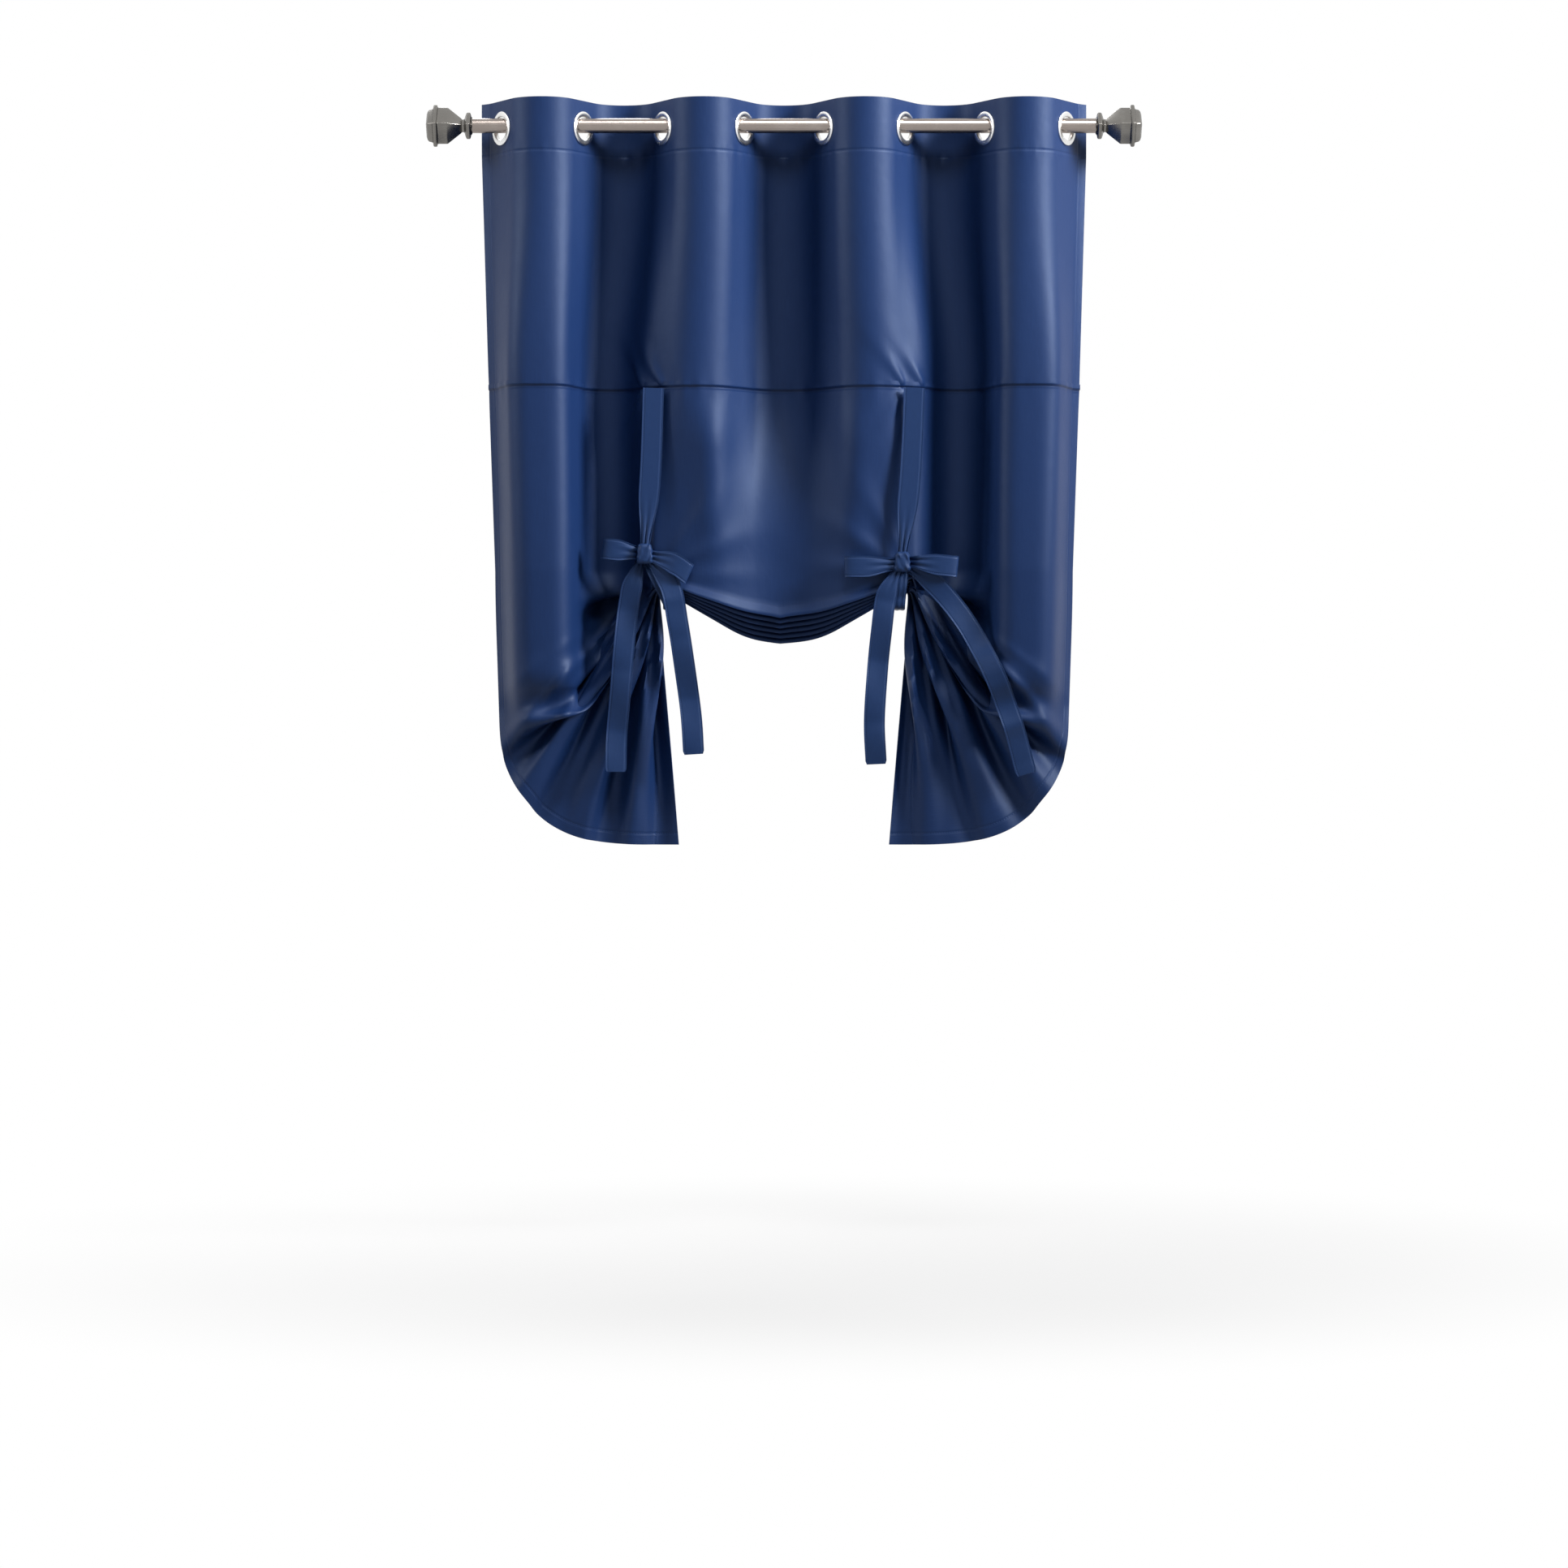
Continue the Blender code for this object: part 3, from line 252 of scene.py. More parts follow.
def makeSatin():
    finish = Finish("navySatin", satin["shade"])
    across, down, flat = clothMap(finish, cloth["length"])
    side = finish.math("ABSOLUTE", across - halfWidth)

    def hems(width):
        rows = finish.line(down, cloth["headingDepth"], width) + finish.line(
            down, cloth["length"] - cloth["bottomHem"], width)
        return finish.line(side, halfWidth - cloth["sideHem"], width), rows

    sides, rows = hems(satin["stitchWidth"])
    dash = stitches(finish, down, satin["stitchPitch"]) * sides + stitches(
        finish, across, satin["stitchPitch"]) * rows
    sides, rows = hems(satin["grooveWidth"])
    groove = sides + rows
    seam = finish.line(down, cloth["upper"], satin["seamWidth"])
    caught = finish.line(finish.math("PINGPONG", across - halfWidth, eyeletPitch), 0.0, satin["tackSpan"])
    caught = caught * (1 - finish.between(side, 2.4 * eyeletPitch, 2.5 * eyeletPitch))
    tack = caught * finish.line(down, cloth["headingDepth"], satin["tackWidth"])
    tack = tack * stitches(finish, across, satin["tackPitch"])

    streak = threads(finish, across, down, 30.0)
    cloud = finish.noise(flat, 7.0, 3.0, 0.55)
    colour = finish.mix(cloud * 0.55, satin["shade"], satin["deep"])
    colour = finish.mix(finish.between(streak, 0.35, 0.8) * 0.22, colour, satin["thread"])
    colour = finish.mix(dash * 0.75, colour, satin["thread"])
    colour = finish.mix(tack * 0.8, colour, satin["tack"])
    colour = finish.mix(seam * 0.55, colour, satin["seam"])
    finish.set({
        "Base Color": colour,
        "Roughness": finish.between(cloud, 0.2, 0.9) * 0.06 + satin["roughness"],
        "Normal": wovenSurface(finish, flat, streak, dash * 0.6 - groove * 0.8 - seam, clothRelief),
        "Specular Tint": satin["shine"],
        "Specular IOR Level": satin["gloss"],
    })
    return finish.material


def makeRibbonCloth():
    finish = Finish("navyRibbon", satin["shade"])
    across, along, flat = clothMap(finish, 1.0)
    away = finish.math("ABSOLUTE", across)
    hem = ties["width"] / 2 - satin["ribbonHem"]
    dash = stitches(finish, along, satin["ribbonPitch"]) * finish.line(away, hem, satin["ribbonStitchWidth"])
    groove = finish.line(away, hem, satin["ribbonGrooveWidth"])
    streak = threads(finish, across, along, 60.0)
    colour = finish.mix(finish.between(streak, 0.35, 0.8) * 0.3, satin["ribbon"], satin["thread"])
    colour = finish.mix(dash * 0.7, colour, satin["ribbonThread"])
    finish.set({
        "Base Color": colour,
        "Roughness": streak * 0.06 + satin["roughness"],
        "Normal": wovenSurface(finish, flat, streak, dash * 0.5 - groove, ribbonRelief),
        "Specular Tint": satin["shine"],
        "Specular IOR Level": satin["gloss"],
    })
    return finish.material


# light, dark and worn shades of the plating
nickels = {
    "brushedNickel": ((0.33, 0.285, 0.260, 1.0), (0.215, 0.185, 0.165, 1.0), (0.42, 0.38, 0.35, 1.0)),
    # painted shade: a darker copy of the same nickel plating, so that the finials look darker than the rod
    "shadedNickel": ((0.225, 0.215, 0.200, 1.0), (0.125, 0.120, 0.110, 1.0), (0.36, 0.35, 0.33, 1.0)),
}


def makeNickel(name):
    # brushed plating, with the brush marks along the rod
    light, dark, worn = nickels[name]
    finish = Finish(name, light)
    spot = finish.node("ShaderNodeTexCoord", None, None, "Object")
    drawn = finish.node("ShaderNodeMapping", None, {"Vector": spot, "Scale": (14.0, 520.0, 520.0)})
    brush = finish.noise(drawn, 1.0, 4.0, 0.65)
    stain = finish.noise(spot, 26.0, 3.0, 0.5)
    colour = finish.mix(brush * 0.5, light, dark)
    colour = finish.mix(finish.between(stain, 0.45, 0.75) * 0.3, colour, worn)
    finish.set({"Base Color": colour, "Roughness": brush * 0.14 + 0.20, "Metallic": 1.0,
                "Normal": finish.bump(brush, 0.00008, 0.5)})
    return finish.material


def makeSilver():
    bright, dull = (0.82, 0.82, 0.81, 1.0), (0.66, 0.66, 0.66, 1.0)
    finish = Finish("satinSilver", bright)
    spot = finish.node("ShaderNodeTexCoord", None, None, "Object")
    haze = finish.noise(spot, 60.0, 3.0, 0.5)
    grain = finish.noise(spot, 900.0, 2.0, 0.5)
    finish.set({"Base Color": finish.mix(haze * 0.3, bright, dull), "Roughness": haze * 0.10 + 0.20,
                "Metallic": 1.0, "Normal": finish.bump(grain, 0.00005, 0.3)})
    return finish.material


# shape of the hung cloth

grid = {
    "fine": 721,  # places across half of the cloth at which its run is worked out
    "swagColumns": 34,
    "bowColumns": 28,
    "tailColumns": 60,
    "bowInner": 0.05,
    "bowOuter": 0.08,
    "headingRows": 22,
    "upperRows": 62,
    "frontRows": 46,
    "pleatRows": 25,
}


def smooth(value):
    value = np.clip(value, 0.0, 1.0)
    return value * value * (3 - 2 * value)


def ramp(value, start, span):
    # 0 up to the start, then rising to 1 over the span
    return smooth((value - start) / span)


def bell(value):
    return np.exp(-(value ** 2))


def rowsAt(wanted, across, rows):
    return np.array([np.interp(wanted, across, row) for row in rows])


def runningSum(values, steps):
    pieces = (values[..., 1:] + values[..., :-1]) / 2 * steps
    return np.concatenate([np.zeros(values.shape[:-1] + (1,)), np.cumsum(pieces, axis=-1)], axis=-1)


def wave(across):
    # turn of the cloth, -1 to the front and 1 to the back, flat at each eyelet
    gain = 1 / (1 - cloth["eyeletFlat"] / eyeletPitch)
    triangle = 2 / math.pi * np.arcsin(np.sin(math.pi * across / eyeletPitch))
    return np.clip(-gain * triangle, -1, 1)


def looseWave(across):
    ease = 1 - hang["strapCalm"] * bell((across - tieColumn) / ties["width"])
    dent = (across - hang["dentPlace"] * eyeletPitch) / (eyeletPitch * hang["dentWidth"])
    return wave(across) * ease - hang["dent"] * dent * np.exp(-dent * dent)


def swingFor(turn, share, steps):
    # how far the wave swings to either side, so that the cloth takes up a share of its width
    low, high = np.zeros_like(share), np.full_like(share, hang["mostSwing"])
    for _ in range(30):
        middle = (low + high) / 2
        length = runningSum(np.cos(middle[..., None] * turn), steps)[..., -1]
        longer = length / steps.sum() > share
        low = np.where(longer, middle, low)
        high = np.where(longer, high, middle)
    return (low + high) / 2


def hungRows(wanted, drop):
    # across and depth of level rows of half of the cloth
    across = np.sort(np.append(np.linspace(0, halfWidth, grid["fine"]), tieColumn))
    steps = np.diff(across)
    inner = across <= tieColumn + 1e-9
    outer = across >= tieColumn - 1e-9
    ease = ramp(drop, headingDrop, seamDrop - headingDrop)[:, None]
    turn = (1 - ease) * wave(across) + ease * looseWave(across)
    edge = np.interp(drop, [headingDrop, seamDrop, waistDrop],
                     [hang["rodHalf"], hang["seamHalf"], hang["waistHalf"]])
    level = swingFor(turn, edge / halfWidth, steps)
    levelTie = runningSum(np.cos(level[:, None] * turn), steps)[:, inner][:, -1]
    tie = levelTie + (hang["tieHalfSpan"] - levelTie) * ease[:, 0]
    innerSwing = swingFor(turn[:, inner], tie / tieColumn, steps[: inner.sum() - 1])
    outerSwing = swingFor(turn[:, outer], (edge - tie) / hang["tieFromEdge"], steps[inner.sum() - 1:])
    blend = smooth((across - tieColumn) / ties["width"] + 0.5)
    swing = innerSwing[:, None] * (1 - blend) + outerSwing[:, None] * blend
    reach = runningSum(np.cos(swing * turn), steps)
    depth = runningSum(np.sin(swing * turn), steps)
    depth = depth - rowsAt(eyeletPitch / 2, across, depth)[:, None]
    calm = hang["bellyCalm"] * smooth((drop - seamDrop) / hang["bundleDrop"] * hang["bellyRate"])[:, None]
    tieDepth = depth[:, inner][:, -1:]
    depth = np.where(across <= tieColumn, tieDepth + (depth - tieDepth) * (1 - calm), depth)
    reachTie = reach[:, inner][:, -1:]
    inside = reach * tie[:, None] / reachTie
    outside = tie[:, None] + (reach - reachTie) * ((edge - tie)[:, None] / (reach[:, -1:] - reachTie))
    reach = np.where(across <= tieColumn, inside, outside)
    return rowsAt(wanted, across, reach), rowsAt(wanted, across, depth)


def tailOutline(share):
    # edge of the tail, from the waist to the inner corner, with most of the slack near the corner
    turn = np.linspace(0, math.pi / 2, 400)
    power = 2 / hang["tailSquareness"]
    x = hang["tailInner"] + (hang["waistHalf"] - hang["tailInner"]) * np.abs(np.cos(turn)) ** power
    z = -waistDrop - (hang["tailBottom"] - waistDrop) * np.abs(np.sin(turn)) ** power
    length = np.concatenate([[0], np.cumsum(np.hypot(np.diff(x), np.diff(z)))])
    slack = gatheredLength / length[-1] - 1
    walked = share * (1 + slack - slack * share) * length[-1]
    return np.interp(walked, length, x), np.interp(walked, length, z)


def pleatSection(advance, stepBack, angle, softness, samples):
    # side view of the pleats of one column: part of the cloth used, way along and depth
    share = math.hypot(advance, stepBack)
    back = (1 - share**2) / (2 * (1 - advance * math.cos(angle) - stepBack * math.sin(angle)))
    frontAngle = math.atan2(stepBack - back * math.sin(angle), advance - back * math.cos(angle))
    unit = np.linspace(0, hang["pleats"], samples)
    phase = unit % 1.0
    fold = smooth((phase - 0.25) / softness + 0.5) - smooth((phase - 0.75) / softness + 0.5)
    turn = frontAngle + (angle - frontAngle) * fold
    used = np.where(np.abs(phase - 0.5) < 0.25, 2 * back, 2 * (1 - back)) * pleatLength
    steps = np.diff(unit)
    walked = runningSum(used, steps)
    walked = walked * (gatheredLength / walked[-1])
    along = runningSum(np.cos(turn) * used, steps)
    depth = runningSum(np.sin(turn) * used, steps)
    part = walked / walked[-1]
    return part, along - along[-1] * part, depth - depth[-1] * part


def eased(values, step, reach, odd):
    # values smoothed along the cloth over a reach, mirrored at the middle and run on at the edge
    count = int(3 * reach / step)
    before = values[:, count:0:-1] * (-1 if odd else 1)
    after = 2 * values[:, -1:] - values[:, -2:-count - 2:-1]
    padded = np.concatenate([before, values, after], axis=1)
    weight = bell(np.arange(-count, count + 1) * step / reach)
    weight /= weight.sum()
    return np.stack([np.convolve(row, weight, mode="valid") for row in padded])


def baseRows(parts):
    # middle line of each gathered row: swag, through the bow, down to a turn and out to the side edge
    across = np.linspace(0, halfWidth, grid["fine"])
    waistX, waistY = hungRows(across, np.array([waistDrop]))
    tieX = hang["tieHalfSpan"]
    x = np.zeros((len(parts), grid["fine"]))
    z = np.zeros_like(x)
    inner = across <= tieColumn
    rise = 1 - (across[inner] / tieColumn) ** 2
    held = bell((across[inner] - tieColumn) / ties["width"])
    outShare = (across[~inner] - tieColumn) / hang["tieFromEdge"]
    waistOut = waistX[0, ~inner]
    turnShare = np.interp(hang["turnSpan"], waistOut, outShare)
    toTurn = np.clip(outShare / turnShare, 0, 1)
    edgeX, edgeZ = tailOutline(parts)
    for row, part in enumerate(parts):
        knotX, knotZ = tieX - hang["bundleShift"] * part, -waistDrop - hang["bundleSink"] * part
        sag = hang["firstSag"] + (hang["lastSag"] - hang["firstSag"]) * part
        x[row, inner] = waistX[0, inner] * (knotX / tieX)
        z[row, inner] = -waistDrop - hang["bundleSink"] * part * held - sag * rise
        taut = ramp(part, hang["tautFrom"], hang["tautTo"] - hang["tautFrom"])
        turnZ = -waistDrop - gatheredLength * part
        hungX = np.where(outShare < turnShare, knotX + (hang["turnSpan"] - knotX) * toTurn, waistOut)
        hungZ = np.where(outShare < turnShare, knotZ + (turnZ - knotZ) * toTurn, turnZ)
        near = 1 - smooth(part / hang["waistBlend"])
        hungX = hungX * (1 - near) + waistOut * near
        hungX = hungX * (1 - hang["sideTaper"] * outShare * smooth(part / hang["tautTo"]))
        tautX = knotX + (edgeX[row] - knotX) * outShare
        tautZ = knotZ + (edgeZ[row] - knotZ) * outShare
        x[row, ~inner] = hungX * (1 - taut) + tautX * taut
        z[row, ~inner] = hungZ * (1 - taut) + tautZ * taut
    x = eased(x, across[1], hang["tailBend"], True)
    z = eased(z, across[1], hang["tailBend"], False)
    return across, x, z, waistY[0]


def gatheredHalf(across, samples):
    parts = np.linspace(0, 1, samples)
    fineAcross, baseX, baseZ, waistY = baseRows(parts)
    tieY = np.interp(tieColumn, fineAcross, waistY)
    runX, runZ = np.gradient(baseX, axis=1), np.gradient(baseZ, axis=1)
    run = np.hypot(runX, runZ)
    stride = np.hypot(np.gradient(baseX, axis=0), np.gradient(baseZ, axis=0)) * (samples - 1) / gatheredLength
    tables = (baseX, baseZ, runZ / run, -runX / run, stride)
    window = gather["needRows"]
    least = hang["leastFold"] * ramp(parts, hang["tautFrom"], hang["tautTo"] - hang["tautFrom"])
    points = np.zeros((samples, len(across), 3))
    for column, here in enumerate(across):
        tail = max(0.0, here - tieColumn) / hang["tieFromEdge"]
        x, z, dirX, dirZ, local = (rowsAt(here, fineAcross, table) for table in tables)
        length = np.hypot(np.diff(x), np.diff(z)).sum()
        advance = min(length / gatheredLength, gather["mostReach"])
        opened = smooth(tail * gather["openRate"])
        angle = hang["bundleAngle"] + (hang["tailOpen"] - hang["bundleAngle"]) * opened
        softness = gather["turn"] + gather["turnGain"] * smooth(tail * gather["softRate"])
        part, along, depth = pleatSection(advance, hang["bundleDepth"] / gatheredLength, angle, softness,
                                          samples)
        need = np.sqrt(np.clip(1 - local**2, 0, 1)) / math.sqrt(1 - advance**2)
        need = np.convolve(np.pad(need, window // 2, mode="edge"), np.ones(window) / window, mode="valid")
        need = np.maximum(np.clip(need, 0, gather["mostNeed"]), least) * (1 - hang["hemCalm"] * tail**3)
        if tail == 0:
            need = np.ones(samples)
        x, z, dirX, dirZ, need = (np.interp(part, parts, row) for row in (x, z, dirX, dirZ, need))
        waveLeft = 1 - ramp(part, gather["waveFrom"], gather["waveSpan"])
        bend = math.exp(-((here - tieColumn) / (4 * hang["tailBend"])) ** 2)
        crush = 1 - gather["crush"] * bend * np.clip(-dirX, 0, 1)
        if tail == 0:
            waveLeft = 1
            middle = 1 - (here / tieColumn) ** 2
            crush = hang["swagEndFold"] + (hang["swagFold"] - hang["swagEndFold"]) * middle
        along = np.where(along > 0, along * crush, along) * need
        columnY = np.interp(here, fineAcross, waistY)
        points[:, column, 0] = x + along * dirX
        points[:, column, 1] = tieY + (columnY - tieY) * waveLeft + hang["bundleDepth"] * part + depth * need
        points[:, column, 2] = z + along * dirZ
    return points


def bothHalves(points):
    left = points[:, :0:-1].copy()
    left[..., 0] *= -1
    return np.concatenate([left, points], axis=1)


def gridNormals(points):
    down = np.gradient(points, axis=0)
    side = np.gradient(points, axis=1)
    normal = np.cross(side, down)
    return normal / np.maximum(np.linalg.norm(normal, axis=-1, keepdims=True), 1e-12)


sewing = {
    # height of the puckers, how far they reach, their length and their shift
    "seamPuckers": (0.0010, 0.016, 0.034, 0.4),
    "headingPuckers": (0.0008, 0.010, 0.023, 1.7),
    "drift": 1.4,
    "driftLength": 5.3,
    "swell": 0.4,
    "swellLength": 0.23,
    "crease": 0.0066,  # depth of the creases that start beside a ribbon
    "creaseStart": 0.55,
    "creaseSlant": 0.63,
    "creaseWidth": 0.004,
    "creaseSpread": 0.22,
    "creaseReach": 0.060,
    "pinch": 0.0055,  # depth of the places where the heading is caught down
    "pinchWidth": 0.011,
    "pinchReach": 0.010,
}


def puckers(away, height, reach, length, shift):
    # small sewn-in waves that fade away from a seam
    drift = sewing["drift"] * np.sin(2 * math.pi * wide / (length * sewing["driftLength"]) + shift)
    swell = sewing["swell"] * np.sin(2 * math.pi * wide / sewing["swellLength"] + 3 * shift)
    beat = np.sin(2 * math.pi * wide / length + drift) * (1 - sewing["swell"] + swell)
    return height * beat * np.exp(-np.abs(away) / reach)


def seamPuckers(away):
    # the sewn line gathers the cloth a little, most where the ribbons are caught in it
    push = puckers(away, *sewing["seamPuckers"])
    far = np.abs(away)
    fade = np.exp(-far / sewing["creaseReach"]) * smooth(far / sewing["creaseWidth"])
    for side in (-1, 1):
        for edge in (-1, 1):
            start = side * tieColumn + edge * ties["width"] * sewing["creaseStart"]
            spot = wide - start + far * sewing["creaseSlant"]
            crease = bell(spot / (sewing["creaseWidth"] + far * sewing["creaseSpread"]))
            push = push - sewing["crease"] * crease * fade
    return push


# angles round a bow run from straight down to the side edge, or from straight up to the middle
creases = {
    "centreDrop": 0.01,
    "tail": 0.0115,  # height of the ridges that fan out below a bow
    "tailBeat": math.radians(10),
    "tailDrift": (1.2, 4.3, 1.4),  # how unevenly the ridges follow each other
    "tailShift": 0.8,
    # start and span of each fade
    "tailNear": (0.04, 0.12),
    "tailFar": (0.22, 0.26),
    "tailInner": (-0.30, 0.2),
    "tailOuter": (0.62, 0.4),
    "belly": 0.0034,  # height of the ridges that run from a bow up into the front
    "bellyBeat": math.radians(27),
    "bellyShift": 0.9,
    "bellyPower": 1.5,
    "bellyNear": (0.03, 0.08),
    "bellyFar": (0.10, 0.16),
    "bellyInner": (0.15, 0.4),
    "bellyOuter": (1.45, 0.35),
    "ridge": 0.012,  # height of the two soft folds that hang between the bows
    "ridgeLean": 0.2,
    "ridgePlace": 0.102,
    "ridgeWidth": 0.030,
    "ridgeTop": (-0.32, 0.10),
    "ridgeFoot": (-0.12, 0.14),
    "notch": 0.006,  # how far the folds of the swag dip at its middle
    "notchPlace": -0.007,
    "notchWidth": 0.022,
    "notchTop": (0.01, 0.05),
    "notchFoot": (0.08, 0.04),
}


def dragFolds(points):
    # ridges that the bows pull in the cloth, all pushed straight forward so that no layer meets the next
    def fade(value, name):
        return ramp(value, *creases[name])

    push = np.zeros(points.shape[:2])
    below = -points[..., 2] - waistDrop
    down = below - creases["centreDrop"]
    size, rate, lean = creases["tailDrift"]
    for side in (-1, 1):
        out = side * points[..., 0] - hang["tieHalfSpan"]
        reach = np.hypot(out, down)
        fan = np.arctan2(out, down)
        drift = size * np.sin(rate * fan + lean * side) + creases["tailShift"] * side
        crest = ((1 + np.sin(2 * math.pi * fan / creases["tailBeat"] + drift)) / 2) ** 2
        kept = fade(reach, "tailNear") * (1 - 0.5 * fade(reach, "tailFar"))
        push += creases["tail"] * crest * kept * fade(fan, "tailInner") * (1 - fade(fan, "tailOuter"))
        rise = np.arctan2(-out, -down)
        beat = np.sin(2 * math.pi * rise / creases["bellyBeat"] + creases["bellyShift"] * side)
        kept = fade(reach, "bellyNear") * (1 - fade(reach, "bellyFar"))
        kept = kept * fade(rise, "bellyInner") * (1 - fade(rise, "bellyOuter"))
        push += creases["belly"] * ((1 + beat) / 2) ** creases["bellyPower"] * kept
        kept = fade(down, "ridgeTop") * (1 - fade(down, "ridgeFoot"))
        height = creases["ridge"] * (0.8 - creases["ridgeLean"] * side)
        push += height * bell((out + creases["ridgePlace"]) / creases["ridgeWidth"]) * kept
    moved = points.copy()
    moved[..., 1] -= push
    dip = np.exp(-np.abs(points[..., 0] - creases["notchPlace"]) / creases["notchWidth"])
    moved[..., 2] -= creases["notch"] * dip * fade(below, "notchTop") * (1 - 0.6 * fade(below, "notchFoot"))
    return moved


def fineColumns():
    # closest together where the cloth is gathered
    inner, outer = tieColumn - grid["bowInner"], tieColumn + grid["bowOuter"]
    swag = np.linspace(0, inner, grid["swagColumns"], endpoint=False)
    bow = np.linspace(inner, outer, grid["bowColumns"], endpoint=False)
    return np.concatenate([swag, bow, np.linspace(outer, halfWidth, grid["tailColumns"])])


def faceOut(mesh):
    work = bmesh.new()
    work.from_mesh(mesh)
    bmesh.ops.recalc_face_normals(work, faces=work.faces)
    work.to_mesh(mesh)
    work.free()


def closedSheet(name, points, thickness, mapU, mapV):
    # closed sheet of even thickness on a grid, with its place on the flat cloth as a map
    rows, columns = points.shape[:2]
    offset = gridNormals(points) * thickness / 2
    vertices = np.concatenate([(points + offset).reshape(-1, 3), (points - offset).reshape(-1, 3)])
    back = rows * columns
    index = np.arange(back).reshape(rows, columns)
    a, b = index[:-1, :-1].ravel(), index[:-1, 1:].ravel()
    c, d = index[1:, 1:].ravel(), index[1:, :-1].ravel()
    front = np.stack([a, b, c, d], axis=1)
    behind = np.stack([a, d, c, b], axis=1) + back
    rim = np.concatenate([index[0, :], index[1:, -1], index[-1, -2::-1], index[-2:0:-1, 0]])
    onward = np.roll(rim, -1)
    sides = np.stack([rim, rim + back, onward + back, onward], axis=1)
    faces = np.concatenate([front, behind, sides])
    mesh = bpy.data.meshes.new(name)
    mesh.from_pydata(vertices.tolist(), [], faces.tolist())
    layer = mesh.uv_layers.new(name="clothMap")
    corner = np.zeros(len(mesh.loops), dtype=np.int32)
    mesh.loops.foreach_get("vertex_index", corner)
    flat = np.stack([np.tile(mapU.ravel(), 2), np.tile(mapV.ravel(), 2)], axis=1)
    layer.data.foreach_set("uv", flat[corner].ravel())
    mesh.update()
    faceOut(mesh)
    return mesh


def panelMesh(name, points, walked):
    # walked is the way down the flat cloth at each row
    mapU = np.broadcast_to((wide + halfWidth) / cloth["length"], points.shape[:2])
    mapV = np.broadcast_to(walked[:, None] / cloth["length"], points.shape[:2])
    return closedSheet(name, points, cloth["thickness"], mapU, mapV)


def addPiece(name, mesh, material):
    mesh.materials.clear()
    mesh.materials.append(material)
    piece = bpy.data.objects.new(name, mesh)
    bpy.context.collection.objects.link(piece)
    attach(piece, "root")
    return piece


def deselect():
    bpy.ops.object.select_all(action="DESELECT")


def select(piece):
    deselect()
    piece.select_set(True)
    bpy.context.view_layer.objects.active = piece


def smoothShade(piece, degrees):
    select(piece)
    bpy.ops.object.shade_smooth_by_angle(angle=math.radians(degrees))


ties = {
    "width": 0.036,
    "thickness": 0.0012,
    "clearance": 0.0009,
    "seamHold": 0.002,
    "bandWidth": 0.024,
    "bandInset": 0.028,
    "bandTurn": 0.006,
    "bandShare": 0.67,  # the band is narrower than the ribbon, so its length counts for less
    "knot": (0.029, 0.022, 0.035),
    "pinch": 0.45,
    "pinchLength": 0.05,
    "strapPinchLength": 0.10,
    "coreDepth": 0.005,
    "coreShare": 0.85,
    "reach": 0.6,  # share of its width to either side in which a stretch of ribbon keeps clear of the cloth
    "endReach": 0.625,
    "bandReach": 0.7,
    "loopGirth": 0.022,
    "loopRoot": 0.3,  # share of its girth and of its width that a loop has at the knot
    "loopNarrow": 0.55,
    "loopRates": (4, 1.6, 1.4),  # how soon a loop reaches the cloth, widens and loses its creases
    "twist": 0.22,  # most that a hanging end turns out of the flat
    "twistLength": 0.21,
    "twistShift": 9,
    "cutCorner": 0.88,
    "columns": 13,
    "creaseTurns": 2.5,  # lengthwise creases across half of the ribbon
    "endCrease": 0.0016,
    "loopCrease": 0.0018,
    "bandCrease": 0.0004,
}

satinNavy = makeSatin()
ribbonNavy = makeRibbonCloth()
nickel = makeNickel("brushedNickel")
shadedNickel = makeNickel("shadedNickel")
silver = makeSilver()
print("finishes made")


# upper cloth, with its heading and eyelet holes

eyelet = {
    "bore": 0.040,
    "ring": 0.0585,
    "height": 0.0032,
    "barrelWall": 0.0012,
    "fit": 0.0003,
    "lip": 0.6,  # share of the height from which the crown rises
    "crown": 0.5,
    "crownPower": 1.2,
    "backCrown": 0.4,
    "frontSteps": 9,
    "backSteps": 6,
    "sides": 16,  # of the solid that the rod was set against
    "turns": 64,
}
rod = {
    "length": 1.074,
    "diameter": 0.0254,
    "wall": 0.0012,
    "fit": 0.0003,
}


def eyeletDrop(front):
    # how far an eyelet hangs below the rod's axis
    bore = eyelet["bore"] / 2 * math.cos(math.pi / eyelet["sides"])
    rodRadius = rod["diameter"] / 2
    slant = abs(front.x)
    crown = cloth["thickness"] / 2 + eyelet["fit"] + eyelet["height"]
    across = np.linspace(-bore, bore, 400)[1:-1]
    lowest = bore
    for shift in (-crown, crown):
        spot = (across - shift * abs(front.y) / slant) / (rodRadius / slant)
        inside = np.abs(spot) < 1
        room = np.sqrt(bore**2 - across[inside] ** 2) - rodRadius * np.sqrt(1 - spot[inside] ** 2)
        lowest = min(lowest, room.min())
    return lowest - eyelet["fit"]


def eyeletPlaces():
    found = []
    for number in range(cloth["eyelets"]):
        along = cloth["endMargin"] + number * eyeletPitch - halfWidth
        side = math.copysign(1, along)
        near = [abs(along) - cloth["eyeletFlat"] / 4, abs(along), abs(along) + cloth["eyeletFlat"] / 4]
        px, py = (row[0] for row in hungRows(near, np.array([0.0])))
        run = Vector((side * (px[2] - px[0]), py[2] - py[0], 0)).normalized()
        front = Vector((run.y, -run.x, 0)) * side
        found.append((Vector((side * px[1], py[1], -eyeletDrop(front))), front))
    return found


def facing(spot, front):
    side = Vector((0, 0, 1)).cross(front)
    turn = Matrix((side, front.cross(side), front)).transposed()
    return Matrix.Translation(spot) @ turn.to_4x4()


eyeletSpots = eyeletPlaces()
across = fineColumns()
wide = np.concatenate([-across[:0:-1], across])


